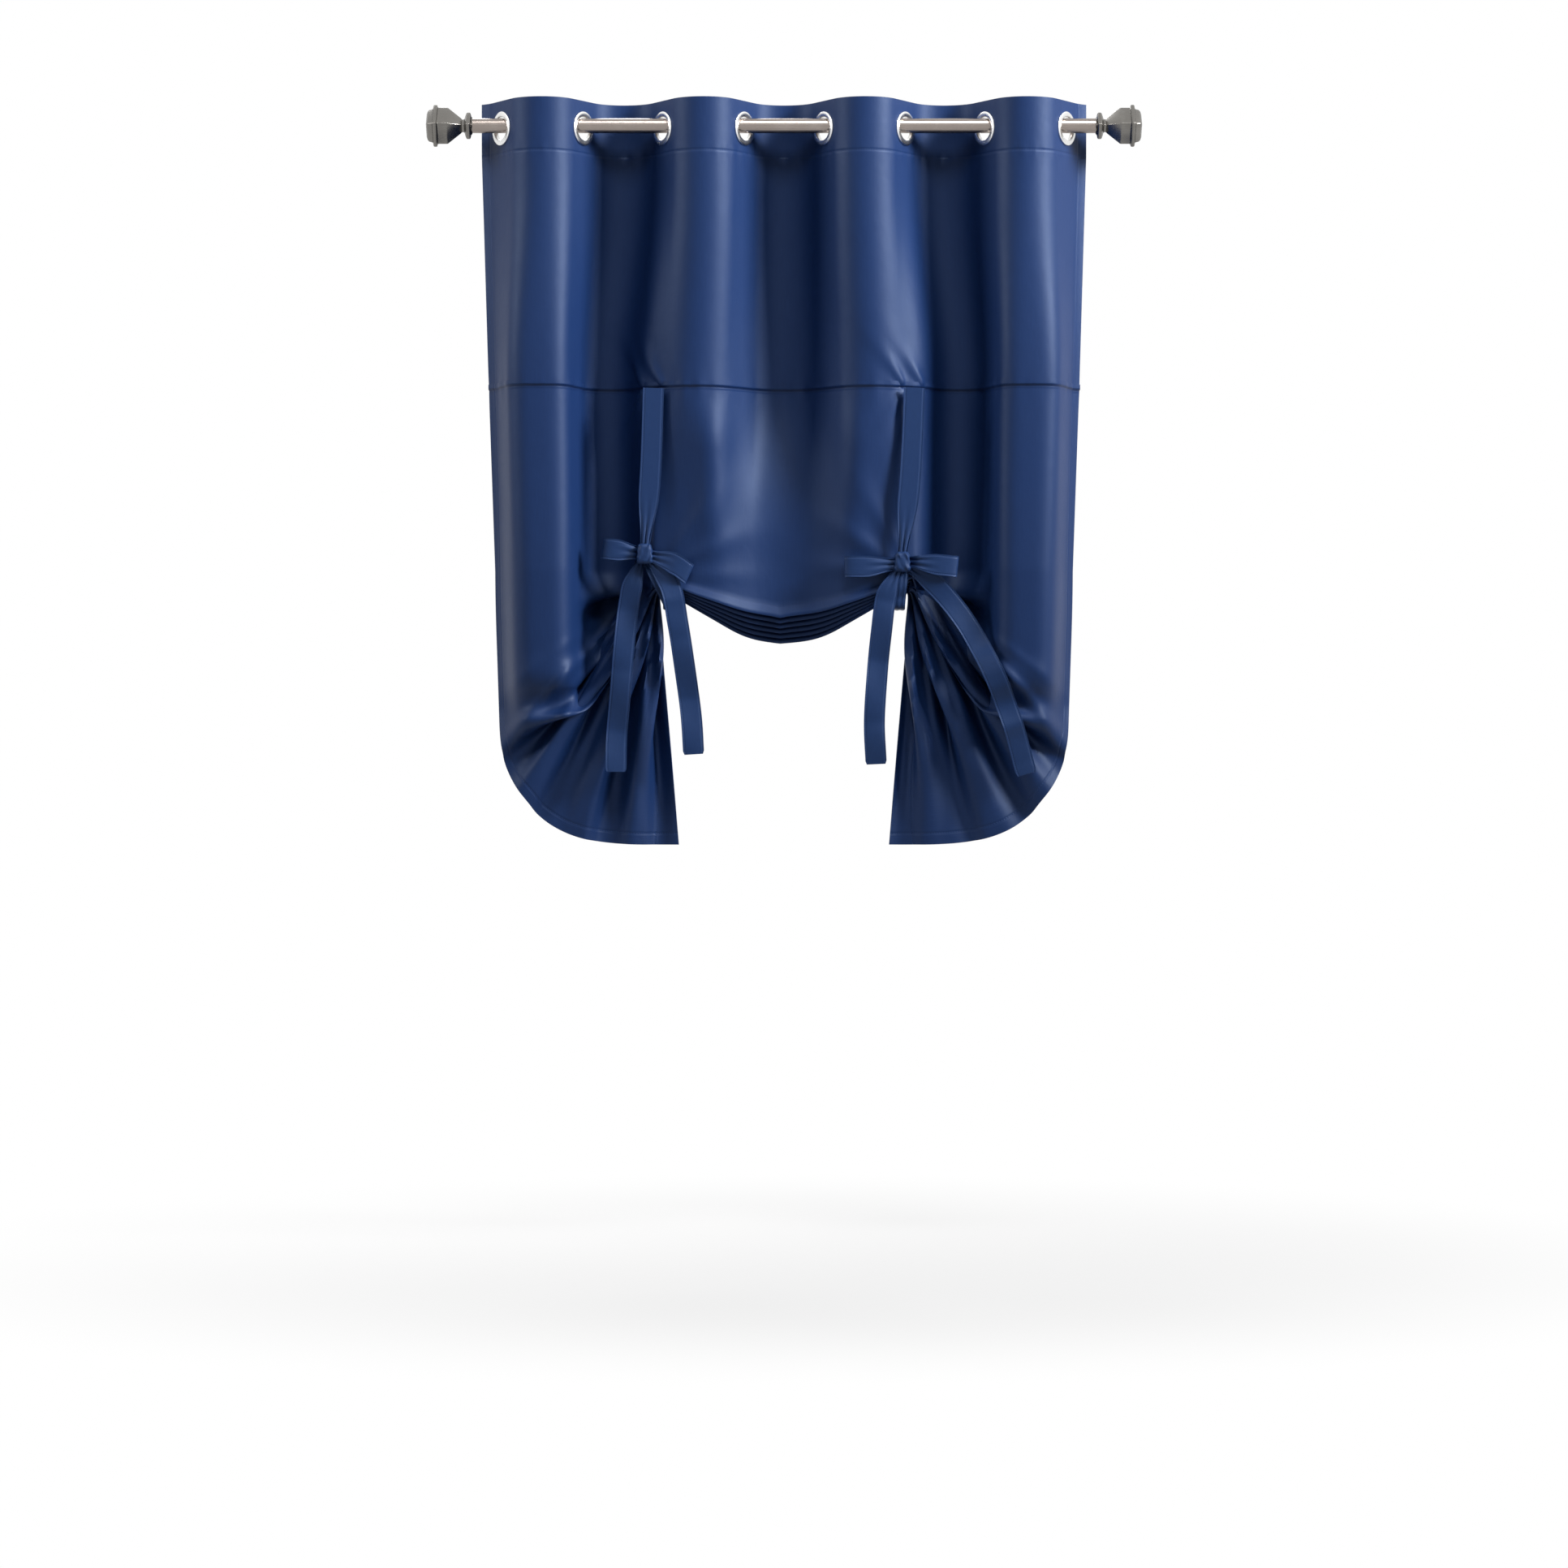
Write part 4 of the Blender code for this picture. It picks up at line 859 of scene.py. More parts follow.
def cutEyeletHoles(panel):
    hole = eyelet["bore"] / 2 + eyelet["barrelWall"] + eyelet["fit"]
    deselect()
    cutters = []
    for spot, front in eyeletSpots:
        bpy.ops.mesh.primitive_cylinder_add(vertices=48, radius=hole, depth=eyelet["ring"])
        cutter = bpy.context.object
        cutter.data.transform(facing(spot, front))
        cutters.append(cutter)
    for cutter in cutters:
        cutter.select_set(True)
    bpy.ops.object.join()
    tool = bpy.context.object
    select(panel)
    cut = panel.modifiers.new("eyeletHoles", "BOOLEAN")
    cut.operation = "DIFFERENCE"
    cut.solver = "EXACT"
    cut.object = tool
    bpy.ops.object.modifier_apply(modifier=cut.name)
    bpy.data.objects.remove(tool, do_unlink=True)


def makeUpperPanel():
    drops = np.concatenate([np.linspace(-cloth["headingStand"], headingDrop, grid["headingRows"]),
                            np.linspace(headingDrop, seamDrop, grid["upperRows"])[1:]])
    x, y = hungRows(across, np.maximum(drops, 0))
    z = np.broadcast_to(-drops[:, None], x.shape).copy()
    z[-1] += cloth["seamGap"] / 2
    points = bothHalves(np.stack([x, y, z], axis=-1))
    headingAway = drops[:, None] - headingDrop
    push = seamPuckers(drops[:, None] - seamDrop) + puckers(headingAway, *sewing["headingPuckers"])
    for trough in (-2 * eyeletPitch, 0.0, 2 * eyeletPitch):
        pinch = bell((wide - trough) / sewing["pinchWidth"]) * bell(headingAway / sewing["pinchReach"])
        push += sewing["pinch"] * pinch
    points += gridNormals(points) * push[..., None]
    mesh = panelMesh("upperPanel", points, drops + cloth["headingStand"])
    panel = addPiece("upper_cloth", mesh, satinNavy)
    cutEyeletHoles(panel)
    smoothShade(panel, 50)
    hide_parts("upper_panel")
    return panel


upperPanel = makeUpperPanel()
print("upper cloth made", len(upperPanel.data.polygons))


# lower cloth: front, swag and tails

def makeLowerPanel():
    frontRows = grid["frontRows"]
    samples = hang["pleats"] * grid["pleatRows"] + 1
    drops = seamDrop + np.linspace(0, hang["bundleDrop"], frontRows, endpoint=False)
    x, y = hungRows(across, drops)
    z = np.broadcast_to(-drops[:, None], x.shape).copy()
    pleats = gatheredHalf(across, samples)
    whole = np.concatenate([np.stack([x, y, z], axis=-1), pleats], axis=0)
    share = (drops - seamDrop)[:, None] / hang["bundleDrop"]
    start = pleats[0][None]
    whole[:frontRows, :, 2] += (start[..., 2] + waistDrop) * share**2
    whole[:frontRows, :, 0] += (start[..., 0] - hungRows(across, np.array([waistDrop]))[0]) * share**3
    points = dragFolds(bothHalves(whole))
    length = np.concatenate([drops - seamDrop, hang["bundleDrop"] + np.linspace(0, gatheredLength, samples)])
    normal = gridNormals(points)
    points += normal * seamPuckers(length[:, None])[..., None]
    # the seam allowance stands up behind the upper cloth
    fold = points[:1] - normal[:1] * (cloth["thickness"] + cloth["seamGap"])
    rise = np.array(cloth["allowanceRows"])
    allowance = fold + np.array([0, 0, 1.0]) * rise[:, None, None]
    points[0, :, 2] -= cloth["seamGap"] / 2
    points = np.concatenate([allowance[::-1], points])
    mesh = panelMesh("lowerPanel", points, np.concatenate([-rise[::-1], length]) + cloth["upper"])
    panel = addPiece("lower_cloth", mesh, satinNavy)
    smoothShade(panel, 60)
    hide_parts("lower_panel")
    return panel


lowerPanel = makeLowerPanel()
print("lower cloth made", len(lowerPanel.data.polygons))


# eyelet rings

def startExtruding():
    bpy.ops.object.mode_set(mode="EDIT")
    bpy.ops.mesh.select_all(action="SELECT")


def extrude(shift, grow, centre):
    # the selected edge ring is drawn out and scaled about a centre
    bpy.ops.mesh.extrude_region_move(TRANSFORM_OT_translate={"value": shift})
    bpy.ops.transform.resize(value=grow, center_override=centre)


def endExtruding(weld=0.0):
    bpy.ops.mesh.select_all(action="SELECT")
    if weld:
        bpy.ops.mesh.remove_doubles(threshold=weld)
    bpy.ops.mesh.normals_make_consistent(inside=False)
    bpy.ops.object.mode_set(mode="OBJECT")


def extrudeRing(stations):
    # a tube's edge ring drawn out through (radius, height) stations and closed on itself
    deselect()
    before = stations[0]
    bpy.ops.mesh.primitive_circle_add(vertices=eyelet["turns"], radius=before[0], fill_type="NOTHING")
    ring = bpy.context.object
    startExtruding()
    bpy.ops.transform.translate(value=(0, 0, before[1]))
    for radius, height in stations[1:] + stations[:1]:
        grow = radius / before[0]
        extrude((0, 0, height - before[1]), (grow, grow, 1), (0, 0, 0))
        before = (radius, height)
    endExtruding(weld=0.00001)
    return ring


def eyeletStations():
    bore, ring, high = eyelet["bore"] / 2, eyelet["ring"] / 2, eyelet["height"]
    barrel = bore + eyelet["barrelWall"]
    face = cloth["thickness"] / 2 + eyelet["fit"]
    crown = face + high
    hold = barrel + eyelet["fit"]
    lip = high * eyelet["lip"]
    front = [(bore, -face - lip), (bore, crown - high * eyelet["crown"])]
    for step in range(1, eyelet["frontSteps"]):
        turn = math.pi * step / eyelet["frontSteps"]
        fall = high * eyelet["crown"] * (1 - math.sin(turn)) ** eyelet["crownPower"]
        front.append((bore + (ring - bore) * (1 - math.cos(turn)) / 2, crown - fall))
    front += [(ring, crown - lip), (ring, face), (barrel, face), (barrel, -face - lip)]
    rise = high * eyelet["backCrown"]
    back = [(hold, -face), (ring, -face), (ring, -face - rise)]
    for step in range(1, eyelet["backSteps"]):
        turn = math.pi * step / eyelet["backSteps"]
        back.append((ring - (ring - hold) * (1 - math.cos(turn)) / 2, -crown + rise * (1 - math.sin(turn))))
    back.append((hold, -crown + rise))
    return {"front": front, "back": back}


def makeEyelets():
    for name, stations in eyeletStations().items():
        pattern = extrudeRing(stations)
        for number, (spot, front) in enumerate(eyeletSpots, start=1):
            mesh = pattern.data.copy()
            mesh.transform(facing(spot, front))
            piece = addPiece(f"eyelet_{number}_{name}", mesh, silver)
            smoothShade(piece, 40)
            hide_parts(f"grommet_{number}_{name}")
        bpy.data.objects.remove(pattern, do_unlink=True)


makeEyelets()
print("eyelets made")


# rod and finials

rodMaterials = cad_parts["rod_tube"].data.materials
rodMaterials.clear()
rodMaterials.append(nickel)

finial = {
    "start": rod["length"] / 2 + rod["fit"],
    "length": 0.079,
    "collar": 0.0466,
    "collarLength": 0.014,
    "neck": 0.0232,
    "body": 0.0632,
    "flange": 0.0732,
    "flangeLength": 0.007,
    "capLength": 0.012,
    "spigot": rod["diameter"] / 2 - rod["wall"] - rod["fit"],
    "spigotLength": 0.022,
    "softEdge": 0.0009,
    # an edge, how far past it, and which width the finial has there, times a share
    "profile": [
        ("start", 0.0, "collar", 0.62), ("start", 0.002, "collar", 0.70), ("start", 0.0035, "collar", 0.95),
        ("start", 0.0050, "collar", 1.0), ("collarEnd", -0.0050, "collar", 1.0),
        ("collarEnd", -0.0035, "collar", 0.95), ("collarEnd", -0.0015, "collar", 0.72),
        ("collarEnd", 0.0, "neck", 1.0), ("collarEnd", 0.004, "neck", 1.0),
        ("collarEnd", 0.006, "neck", 1.18), ("flangeStart", -0.018, "body", 0.985),
        ("flangeStart", -0.016, "body", 1.0), ("flangeStart", -0.0005, "body", 1.0),
        ("flangeStart", 0.001, "flange", 0.985),
        ("flangeStart", 0.0022, "flange", 1.0), ("capStart", -0.0016, "flange", 1.0),
        ("capStart", 0.0, "flange", 0.97), ("capStart", 0.0012, "body", 0.93), ("end", -0.0046, "body", 0.88),
        ("end", -0.0020, "body", 0.80), ("end", 0.0, "body", 0.62),
    ],
}


def finialStations():
    end = finial["start"] + finial["length"]
    capStart = end - finial["capLength"]
    edges = {"start": finial["start"], "collarEnd": finial["start"] + finial["collarLength"],
             "flangeStart": capStart - finial["flangeLength"], "capStart": capStart, "end": end}
    return [(edges[edge] + past, finial[width] * share) for edge, past, width, share in finial["profile"]]


def makeFinial(name, node, side):
    stations = finialStations()
    before = stations[0]
    deselect()
    bpy.ops.mesh.primitive_circle_add(vertices=4, radius=before[1] / 2, fill_type="NGON",
                                      location=(side * before[0], 0, 0), rotation=(0, side * math.pi / 2, 0))
    bpy.ops.object.transform_apply(location=True, rotation=True, scale=True)
    piece = bpy.context.object
    piece.name = name
    startExtruding()
    for x, width in stations[1:]:
        grow = width / before[1]
        extrude((side * (x - before[0]), 0, 0), (1, grow, grow), (side * x, 0, 0))
        before = (x, width)
    endExtruding()
    edge = piece.modifiers.new("castEdges", "BEVEL")
    edge.width = finial["softEdge"]
    edge.segments = 3
    edge.limit_method = "ANGLE"
    edge.angle_limit = math.radians(50)
    edge.use_clamp_overlap = True
    bpy.ops.object.modifier_apply(modifier=edge.name)
    deselect()
    sunk = finial["collarLength"] * 0.5
    length = finial["spigotLength"] + sunk
    middle = finial["start"] + (sunk - finial["spigotLength"]) / 2
    bpy.ops.mesh.primitive_cylinder_add(vertices=48, radius=finial["spigot"], depth=length,
                                        location=(side * middle, 0, 0), rotation=(0, math.pi / 2, 0))
    bpy.ops.object.transform_apply(location=True, rotation=True, scale=True)
    piece.select_set(True)
    bpy.context.view_layer.objects.active = piece
    bpy.ops.object.join()
    piece.data.materials.clear()
    # painted shade: the finial takes the darker copy of the rod's nickel
    piece.data.materials.append(shadedNickel)
    smoothShade(piece, 28)
    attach(piece, "root")
    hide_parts(node)


makeFinial("finial_left", "left_finial", -1)
makeFinial("finial_right", "right_finial", 1)
print("finials made")


# ribbons and bows

# the knot is placed out and up from the middle of the gathers, the rest across and up from the knot
bows = {
    "left": {
        "side": -1,
        "knot": (0.015, 0.027),
        "frontLoop": [(0.007, -0.003), (0.046, -0.014), (0.077, -0.035)],
        "backLoop": [(-0.007, 0.001), (-0.041, 0.006), (-0.073, 0.010)],
        "frontTail": [(0.007, -0.008), (0.043, -0.053), (0.057, -0.120), (0.070, -0.204), (0.080, -0.281),
                      (0.084, -0.344)],
        "backTail": [(-0.008, -0.011), (-0.024, -0.064), (-0.035, -0.148), (-0.043, -0.246), (-0.049, -0.316),
                     (-0.050, -0.374)],
    },
    "right": {
        "side": 1,
        "knot": (-0.021, 0.013),
        "frontLoop": [(-0.010, -0.004), (-0.057, -0.008), (-0.099, -0.008)],
        "backLoop": [(0.011, 0.001), (0.055, -0.004), (0.095, -0.008)],
        "frontTail": [(-0.007, -0.014), (-0.027, -0.057), (-0.036, -0.120), (-0.043, -0.190),
                      (-0.048, -0.274), (-0.045, -0.347)],
        "backTail": [(0.010, -0.008), (0.057, -0.039), (0.111, -0.106), (0.155, -0.190), (0.190, -0.281),
                     (0.214, -0.364)],
    },
}


def unitRows(rows):
    return rows / np.maximum(np.linalg.norm(rows, axis=1, keepdims=True), 1e-12)


def lengthsAlong(points):
    return np.concatenate([[0], np.cumsum(np.linalg.norm(np.diff(points, axis=0), axis=1))])


def smoothPath(points, count):
    given = np.array(points, dtype=float)
    padded = np.concatenate([[2 * given[0] - given[1]], given, [2 * given[-1] - given[-2]]])
    curve = []
    for k in range(len(given) - 1):
        a, b, c, d = padded[k:k + 4]
        for t in np.linspace(0, 1, 24, endpoint=False):
            curve.append(0.5 * (2 * b + (c - a) * t + (2 * a - 5 * b + 4 * c - d) * t**2
                                + (3 * b - a - 3 * c + d) * t**3))
    curve.append(given[-1])
    curve = np.array(curve)
    length = lengthsAlong(curve)
    wanted = np.linspace(0, length[-1], count)
    return rowsAt(wanted, length, curve.T).T


def clothTree(pieces):
    vertices, polygons = [], []
    for piece in pieces:
        base = len(vertices)
        vertices += [vertex.co.copy() for vertex in piece.data.vertices]
        polygons += [[base + k for k in polygon.vertices] for polygon in piece.data.polygons]
    return BVHTree.FromPolygons(vertices, polygons)


def clothFace(x, z, reach, towards):
    # depth of the nearest cloth round a point, from the front (1) or the back (-1)
    found = []
    for dx in (-1, -0.5, 0, 0.5, 1):
        for dz in (-0.6, 0, 0.6):
            start = Vector((x + dx * reach, -towards, z + dz * reach))
            hit = tree.ray_cast(start, Vector((0, towards, 0)))[0]
            if hit is not None:
                found.append(hit.y)
    if not found:
        return None
    return min(found) if towards > 0 else max(found)


def clothBehind(x, z, reach, span):
    # furthest back that the cloth comes a little above and below a point
    found = [clothFace(x, z + shift, reach, -1) for shift in np.linspace(-span, span, 5)]
    return max(face for face in found if face is not None)


def ribbonMesh(name, centres, halfSides, bunch):
    # closed ribbon on a centre line; bunch is how deep its lengthwise creases are at each point
    columns = np.linspace(-1, 1, ties["columns"])
    normal = unitRows(np.cross(halfSides, np.gradient(centres, axis=0)))
    folds = np.cos(columns * math.pi * ties["creaseTurns"])
    crease = folds[None, :, None] * bunch[:, None, None] * normal[:, None, :]
    points = centres[:, None, :] + columns[None, :, None] * halfSides[:, None, :] + crease
    walked = lengthsAlong(centres)
    mapU = np.broadcast_to(columns * ties["width"] / 2, points.shape[:2])
    mapV = np.broadcast_to(walked[:, None], points.shape[:2])
    return closedSheet(name, points, ties["thickness"], mapU, mapV), walked[-1]


def hangingRibbon(name, spots, startY, pinchLength, freeEnd=True, extra=0.0):
    count = 60
    path = smoothPath(spots, count)
    run = unitRows(np.gradient(path, axis=0))
    half = ties["width"] / 2
    walked = np.linspace(0, 1, count) * lengthsAlong(path)[-1]
    spreadOut = smooth(walked / pinchLength)
    spread = ties["pinch"] + (1 - ties["pinch"]) * spreadOut
    twist = np.zeros(count)
    if freeEnd:
        spread[-1] *= ties["cutCorner"]
        shift = ties["twistShift"] * spots[-1][0]
        twist = ties["twist"] * np.sin(2 * math.pi * walked / ties["twistLength"] + shift) * spreadOut
    sides = np.stack([-run[:, 1], twist, run[:, 0]], axis=-1) * half * spread[:, None]
    gap = ties["clearance"] + ties["thickness"] + extra
    faces = [clothFace(x, z, ties["width"] * ties["endReach"], 1) for x, z in path]
    depth = np.minimum([startY if face is None else face - gap for face in faces], startY)
    for _ in range(16):
        calmer = depth.copy()
        calmer[1:-1] = (depth[:-2] + 2 * depth[1:-1] + depth[2:]) / 4
        depth = np.minimum(depth, calmer)
    depth[0] = startY
    centres = np.stack([path[:, 0], depth - half * np.abs(twist), path[:, 1]], axis=-1)
    return ribbonMesh(name, centres, sides, ties["endCrease"] * (1 - spreadOut))


def bowLoop(name, spots, knotY):
    count, turns = 40, 72
    path = smoothPath(spots, count)
    share = np.linspace(0, 1, count)
    rise, widen, calm = ties["loopRates"]
    behind = np.array([clothFace(x, z, ties["width"] * ties["reach"], 1) for x, z in path])
    clear = behind - ties["clearance"] - ties["thickness"] - ties["loopGirth"] / 2
    clear = np.minimum.accumulate(np.minimum(clear, knotY))
    depth = knotY + (clear - knotY) * smooth(share * rise)
    for _ in range(12):
        depth[1:-1] = np.minimum(depth[1:-1], (depth[:-2] + depth[2:]) / 2)
    middle = np.stack([path[:, 0], depth, path[:, 1]], axis=-1)
    run = np.gradient(middle, axis=0)
    away = unitRows(np.stack([-run[:, 1], run[:, 0], np.zeros(count)], axis=-1))
    heading = path[-1] - path[0]
    heading /= np.linalg.norm(heading)
    around = np.linspace(0, 2 * math.pi, turns)
    reach = (1 - np.cos(around)) / 2
    line, side = (rowsAt(reach * (count - 1), np.arange(count), table.T).T for table in (middle, away))
    swell = ties["loopGirth"] / 2 * np.sin(around) * (ties["loopRoot"] + (1 - ties["loopRoot"]) * reach)
    centres = line + side * swell[:, None]
    narrow = ties["loopNarrow"] + (1 - ties["loopNarrow"]) * smooth(reach * widen)
    halfSides = np.array([-heading[1], 0, heading[0]]) * (ties["width"] / 2 * narrow)[:, None]
    return ribbonMesh(name, centres, halfSides, ties["loopCrease"] * (1 - smooth(reach * calm)))


knots = {
    "segments": 56,
    "rings": 40,
    "square": 0.5,  # the lower, the squarer the block
    "fold": 0.055,
    "foldRate": 17,
    "foldSlant": 2.2,
    "crease": 0.03,
    "creaseRate": 31,
    "creaseShift": 1.1,
    "faceGain": 1.6,
    "taper": 0.16,
    "waist": 0.10,
    "edge": 0.05,
    "edgeRate": 21,
    "mapShare": 0.8,
}


def knotMesh(name, centre, size, turn):
    # tight wrap of ribbon: a soft block, wider at its foot, with slanting folds across its face
    build = bmesh.new()
    bmesh.ops.create_uvsphere(build, u_segments=knots["segments"], v_segments=knots["rings"], radius=0.5)
    for vertex in build.verts:
        x, y, z = (math.copysign(abs(value * 2) ** knots["square"] / 2, value) for value in vertex.co)
        slope = x * math.cos(turn) + z * math.sin(turn)
        fold = knots["fold"] * math.sin(slope * knots["foldRate"] + knots["foldSlant"] * z + turn)
        fold += knots["crease"] * math.sin(slope * knots["creaseRate"] + knots["creaseShift"])
        face = 1 + fold * float(smooth(abs(2 * y) * knots["faceGain"])) * knots["faceGain"]
        waist = 1 - knots["taper"] * z - knots["waist"] * math.cos(math.pi * z)
        edge = 1 + knots["edge"] * math.sin(z * knots["edgeRate"] + 3 * turn)
        vertex.co = Vector(centre) + Vector((x * size[0] * waist * edge, y * size[1] * face, z * size[2]))
    layer = build.loops.layers.uv.new("clothMap")
    for polygon in build.faces:
        for corner in polygon.loops:
            spot = corner.vert.co - Vector(centre)
            corner[layer].uv = (spot.x * knots["mapShare"], spot.z)
    mesh = bpy.data.meshes.new(name)
    build.to_mesh(mesh)
    build.free()
    faceOut(mesh)
    return mesh


def bundleBottom(x, reach):
    # lowest point of the gathers above a place below them
    start = -waistDrop - pleatLength / 2
    found = []
    for dx in np.linspace(-reach, reach, 5):
        for y in np.linspace(-hang["bundleDepth"], 2 * hang["bundleDepth"], 25):
            hit = tree.ray_cast(Vector((x + dx, y, start)), Vector((0, 0, 1)))[0]
            if hit is not None:
                found.append(hit.z)
    return min(found)


def underBand(name, side, knot, coreY):
    # the back ribbon's run: down behind the cloth, under the gathers and up to the knot
    bandX = side * (hang["tieHalfSpan"] - ties["bandInset"])
    reach = ties["bandWidth"] * ties["bandReach"]
    gap = ties["clearance"] + ties["thickness"]
    low = bundleBottom(bandX, reach) - gap
    turn = low + ties["bandTurn"]
    heights = np.linspace(-seamDrop - ties["seamHold"], turn, 30)
    back = np.array([clothBehind(bandX, z, reach, heights[0] - heights[1]) + gap for z in heights])
    slope = np.interp(heights, [heights[-1], heights[0]], [back.max(), back[0]])
    back = np.maximum(back, slope)
    rising = [(bandX + (knot[0] - bandX) * share, turn + (knot[1] - turn) * share)
              for share in np.linspace(0, 1, 10)]
    front = [min(coreY, clothFace(x, z, reach, 1) - gap) for x, z in rising]
    corner = ties["bandTurn"] * ties["bandReach"]
    centres = [(bandX, y, z) for y, z in zip(back, heights)]
    centres += [(bandX, y, low) for y in np.linspace(back[-1] - corner, front[0] + corner, 12)]
    centres += [(x, y, z) for (x, z), y in zip(rising, front)]
    centres[-1] = (knot[0], coreY, knot[1])
    centres = np.array(centres)
    sides = np.zeros_like(centres)
    sides[:, 0] = ties["bandWidth"] / 2
    return ribbonMesh(name, centres, sides, np.full(len(centres), ties["bandCrease"]))


def makeRibbon(name, node, parts):
    # one piece from the ribbon's stretches, which meet in the knot
    whole = bmesh.new()
    for mesh in parts:
        whole.from_mesh(mesh)
    mesh = bpy.data.meshes.new(name)
    whole.to_mesh(mesh)
    whole.free()
    piece = addPiece(name, mesh, ribbonNavy)
    smoothShade(piece, 60)
    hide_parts(node)


def makeBow(name, bow):
    side = bow["side"]
    out, up = bow["knot"]
    knot = (side * (hang["tieHalfSpan"] + out), up - waistDrop)
    top = (side * hang["tieHalfSpan"], -seamDrop - ties["seamHold"])
    size = ties["knot"]
    spots = {key: [(knot[0] + x, knot[1] + z) for x, z in bow[key]]
             for key in ("frontLoop", "backLoop", "frontTail", "backTail")}
    frontFace = clothFace(*knot, ties["width"] * ties["reach"], 1) - ties["clearance"]
    coreY = frontFace - ties["coreDepth"] / 2
    knotY = frontFace - ties["coreDepth"] - eyelet["fit"] - size[1] / 2
    strapEnd = (knot[0], knot[1] + size[2] / 3)
    middle = ((top[0] * 2 + knot[0]) / 3, (top[1] + knot[1]) / 2)
    strap, strapLength = hangingRibbon(name + "Strap", [strapEnd, middle, top], knotY,
                                       ties["strapPinchLength"], freeEnd=False)
    loop, loopLength = bowLoop(name + "FrontLoop", spots["frontLoop"], knotY)
    tail, tailLength = hangingRibbon(name + "FrontTail", spots["frontTail"], knotY, ties["pinchLength"],
                                     extra=ties["coreDepth"])
    lump = knotMesh(name + "Knot", (knot[0], knotY, knot[1]), size, 0.6 * side)
    makeRibbon(name + "_front_ribbon", name + "_front_tie", [lump, strap, loop, tail])
    coreSize = (size[0] * ties["coreShare"], ties["coreDepth"], size[2] * ties["coreShare"])
    core = knotMesh(name + "Core", (knot[0], coreY, knot[1]), coreSize, 0.2)
    loop, loopLength = bowLoop(name + "BackLoop", spots["backLoop"], coreY)
    tail, tailLength = hangingRibbon(name + "BackTail", spots["backTail"], coreY, ties["pinchLength"])
    band, bandLength = underBand(name + "Band", side, knot, coreY)
    makeRibbon(name + "_back_ribbon", name + "_back_tie", [core, loop, tail, band])


tree = clothTree([upperPanel, lowerPanel])
for name, bow in bows.items():
    makeBow(name, bow)
    print(name, "bow made")


# floor, light and camera

studio = {
    "floorDrop": -1.95,  # the shadow stays near the object, and the floor turns white further out
    "floorSize": 60,
    "fadeFrom": 0.9,
    "fadeTo": 2.6,
    "white": (0.93, 0.93, 0.93, 1.0),
    "distance": 7.8,
    "frameWidth": 2.705,
    "aimDrop": -1.1354,
    "sensor": 36,
    "worldLight": 0.05,
    # spot, aimed at, watts, width, height and spread in degrees
    "lamps": {
        "keyLamp": ((3.9, -1.7, 1.9), (0.4, 0, 0.15), 38, 1.4, 2.0, 40),
        "sideLamp": ((-4.2, -1.0, 1.6), (-0.4, 0, 0.15), 7.5, 1.2, 2.0, 40),
        "frontLamp": ((0.8, -4.2, 5.0), (0, 0, 0.2), 13, 2.6, 1.8, 40),
        "backLamp": ((-1.4, 4.4, 3.2), (0, 0, -0.5), 70, 2.6, 1.8, 120),
    },
}


def whiteRays(shader):
    # 1 for the rays that see white: from the camera, mirrored or let through
    seen = shader.node("ShaderNodeLightPath", None, None, "Is Camera Ray")
    for ray in ("Is Glossy Ray", "Is Transmission Ray"):
        seen = shader.math("MAXIMUM", seen, shader.node("ShaderNodeLightPath", None, None, ray))
    return seen


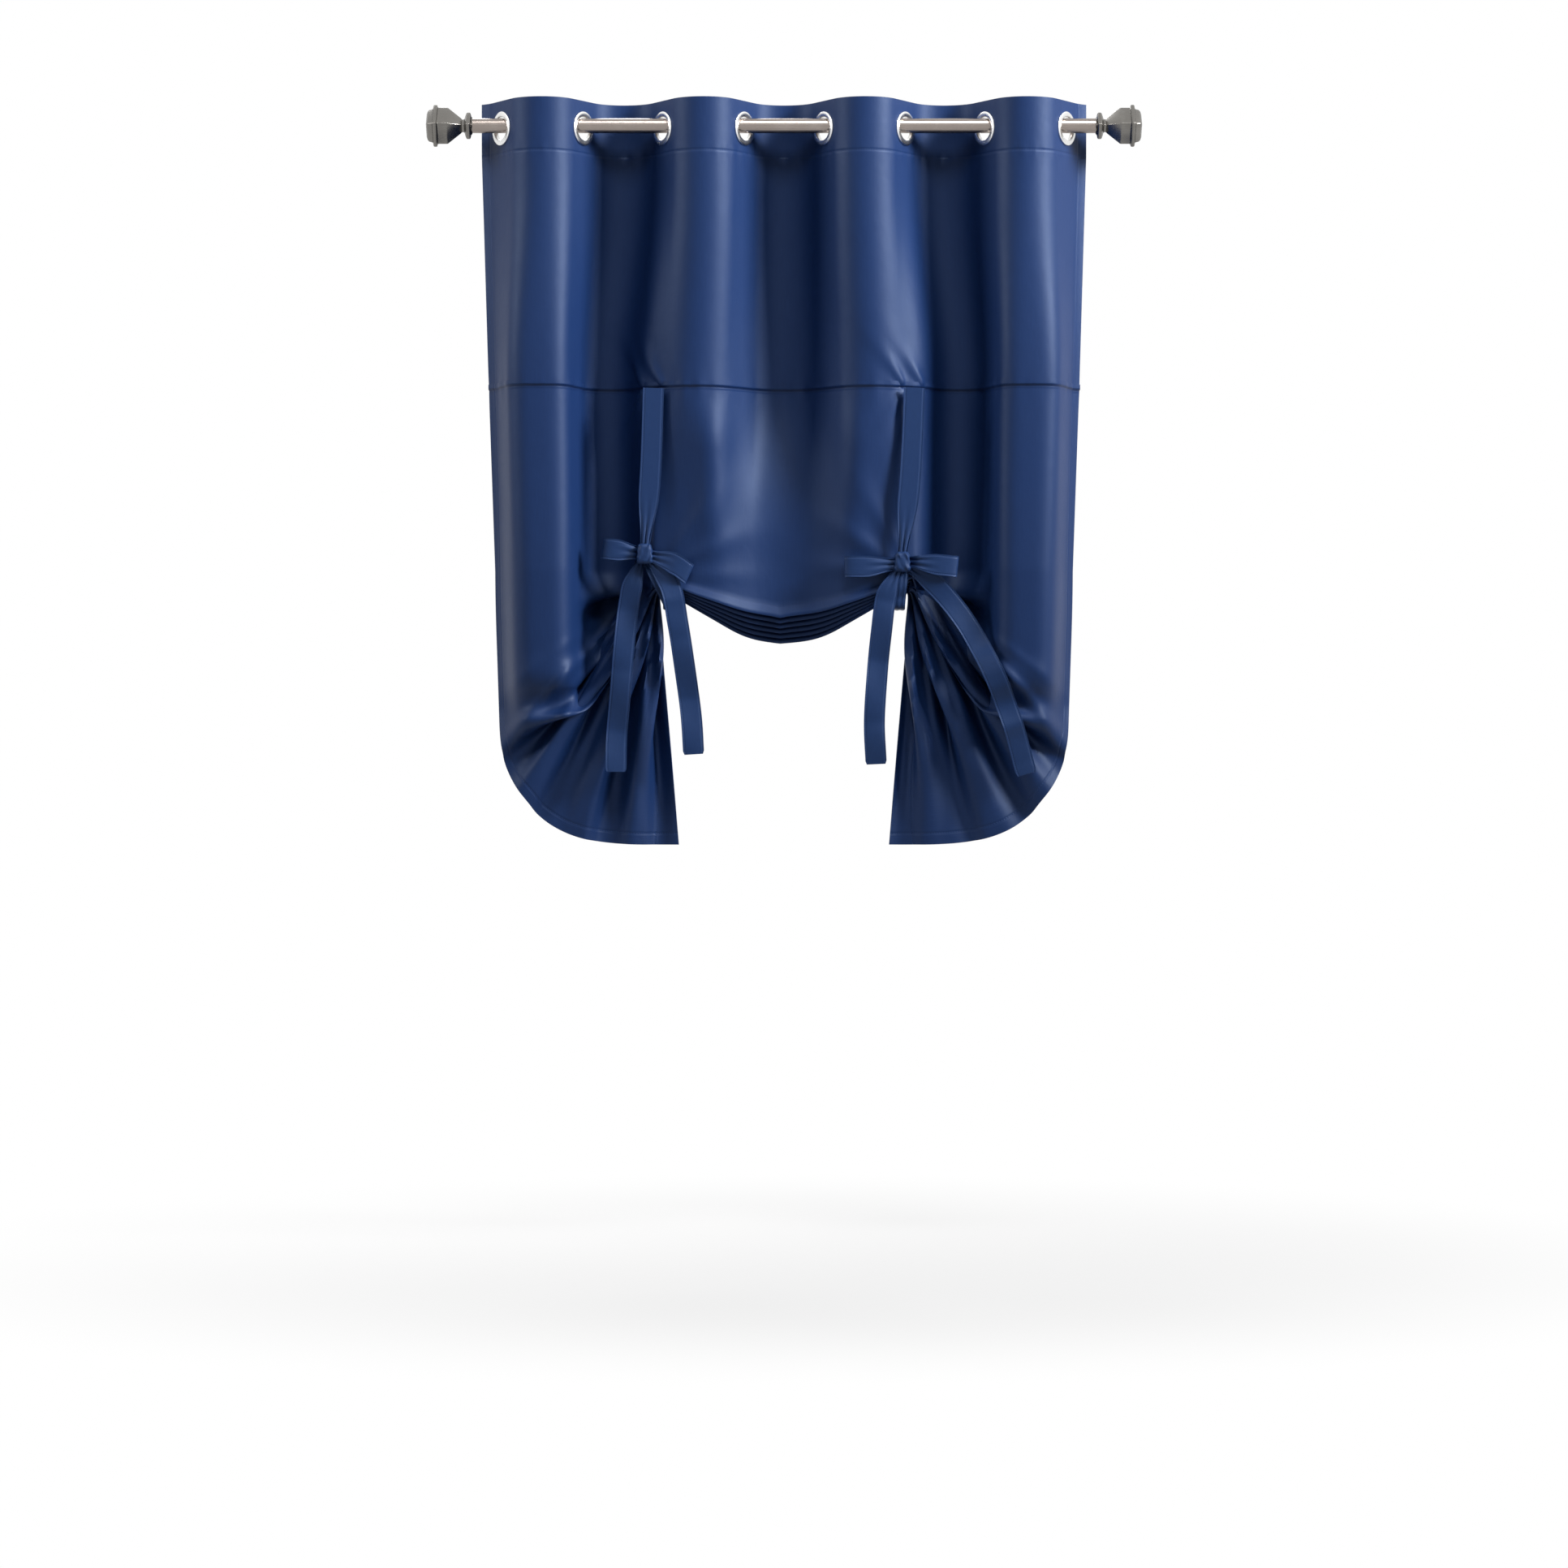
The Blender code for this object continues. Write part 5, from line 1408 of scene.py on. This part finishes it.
def makeFloor():
    deselect()
    bpy.ops.mesh.primitive_plane_add(size=studio["floorSize"], location=(0, 0, studio["floorDrop"]))
    floor = bpy.context.object
    floor.name = "floor"
    finish = Finish("paleFloor", studio["white"])
    finish.set({"Roughness": 0.9, "Specular IOR Level": 0.1})
    spot = finish.node("ShaderNodeNewGeometry", None, None, "Position")
    far = finish.node("ShaderNodeVectorMath", {"operation": "LENGTH"}, {0: spot}, 1)
    fade = finish.between(far, studio["fadeFrom"], studio["fadeTo"]) * whiteRays(finish)
    glow = finish.node("ShaderNodeEmission")
    lit = Wire(finish, finish.surface.outputs[0])
    join = finish.node("ShaderNodeMixShader", None, {0: fade, 1: lit, 2: glow})
    finish.feed(finish.tree.nodes["Material Output"].inputs[0], join)
    floor.data.materials.append(finish.material)


def makeLamp(name, spot, target, power, width, height, spread):
    data = bpy.data.lights.new(name, "AREA")
    data.shape = "RECTANGLE"
    data.size, data.size_y = width, height
    data.energy = power
    data.spread = math.radians(spread)
    lamp = bpy.data.objects.new(name, data)
    bpy.context.collection.objects.link(lamp)
    lamp.location = spot
    lamp.rotation_mode = "QUATERNION"
    lamp.rotation_quaternion = (Vector(target) - Vector(spot)).to_track_quat("-Z", "Y")


def makeWorld():
    world = bpy.data.worlds.new("studioWorld")
    world.use_nodes = True
    bpy.context.scene.world = world
    shader = Shader(world.node_tree)
    light = shader.tree.nodes["Background"]
    light.inputs["Color"].default_value = (1, 1, 1, 1)
    light.inputs["Strength"].default_value = studio["worldLight"]
    white = shader.node("ShaderNodeBackground", None, {"Color": (1, 1, 1, 1), "Strength": 1.0})
    lit = Wire(shader, light.outputs[0])
    join = shader.node("ShaderNodeMixShader", None, {0: whiteRays(shader), 1: lit, 2: white})
    shader.feed(shader.tree.nodes["World Output"].inputs[0], join)


def makeCamera():
    data = bpy.data.cameras.new("camera")
    data.sensor_width = studio["sensor"]
    data.lens = studio["sensor"] * studio["distance"] / studio["frameWidth"]
    data.clip_end = 200
    camera = bpy.data.objects.new("camera", data)
    bpy.context.collection.objects.link(camera)
    camera.location = (0, -studio["distance"], studio["aimDrop"])
    camera.rotation_euler = (math.pi / 2, 0, 0)
    bpy.context.scene.camera = camera


makeFloor()
for lampName, settings in studio["lamps"].items():
    makeLamp(lampName, *settings)
makeWorld()
makeCamera()
bpy.context.scene.view_settings.view_transform = "Standard"

print("scene ready")
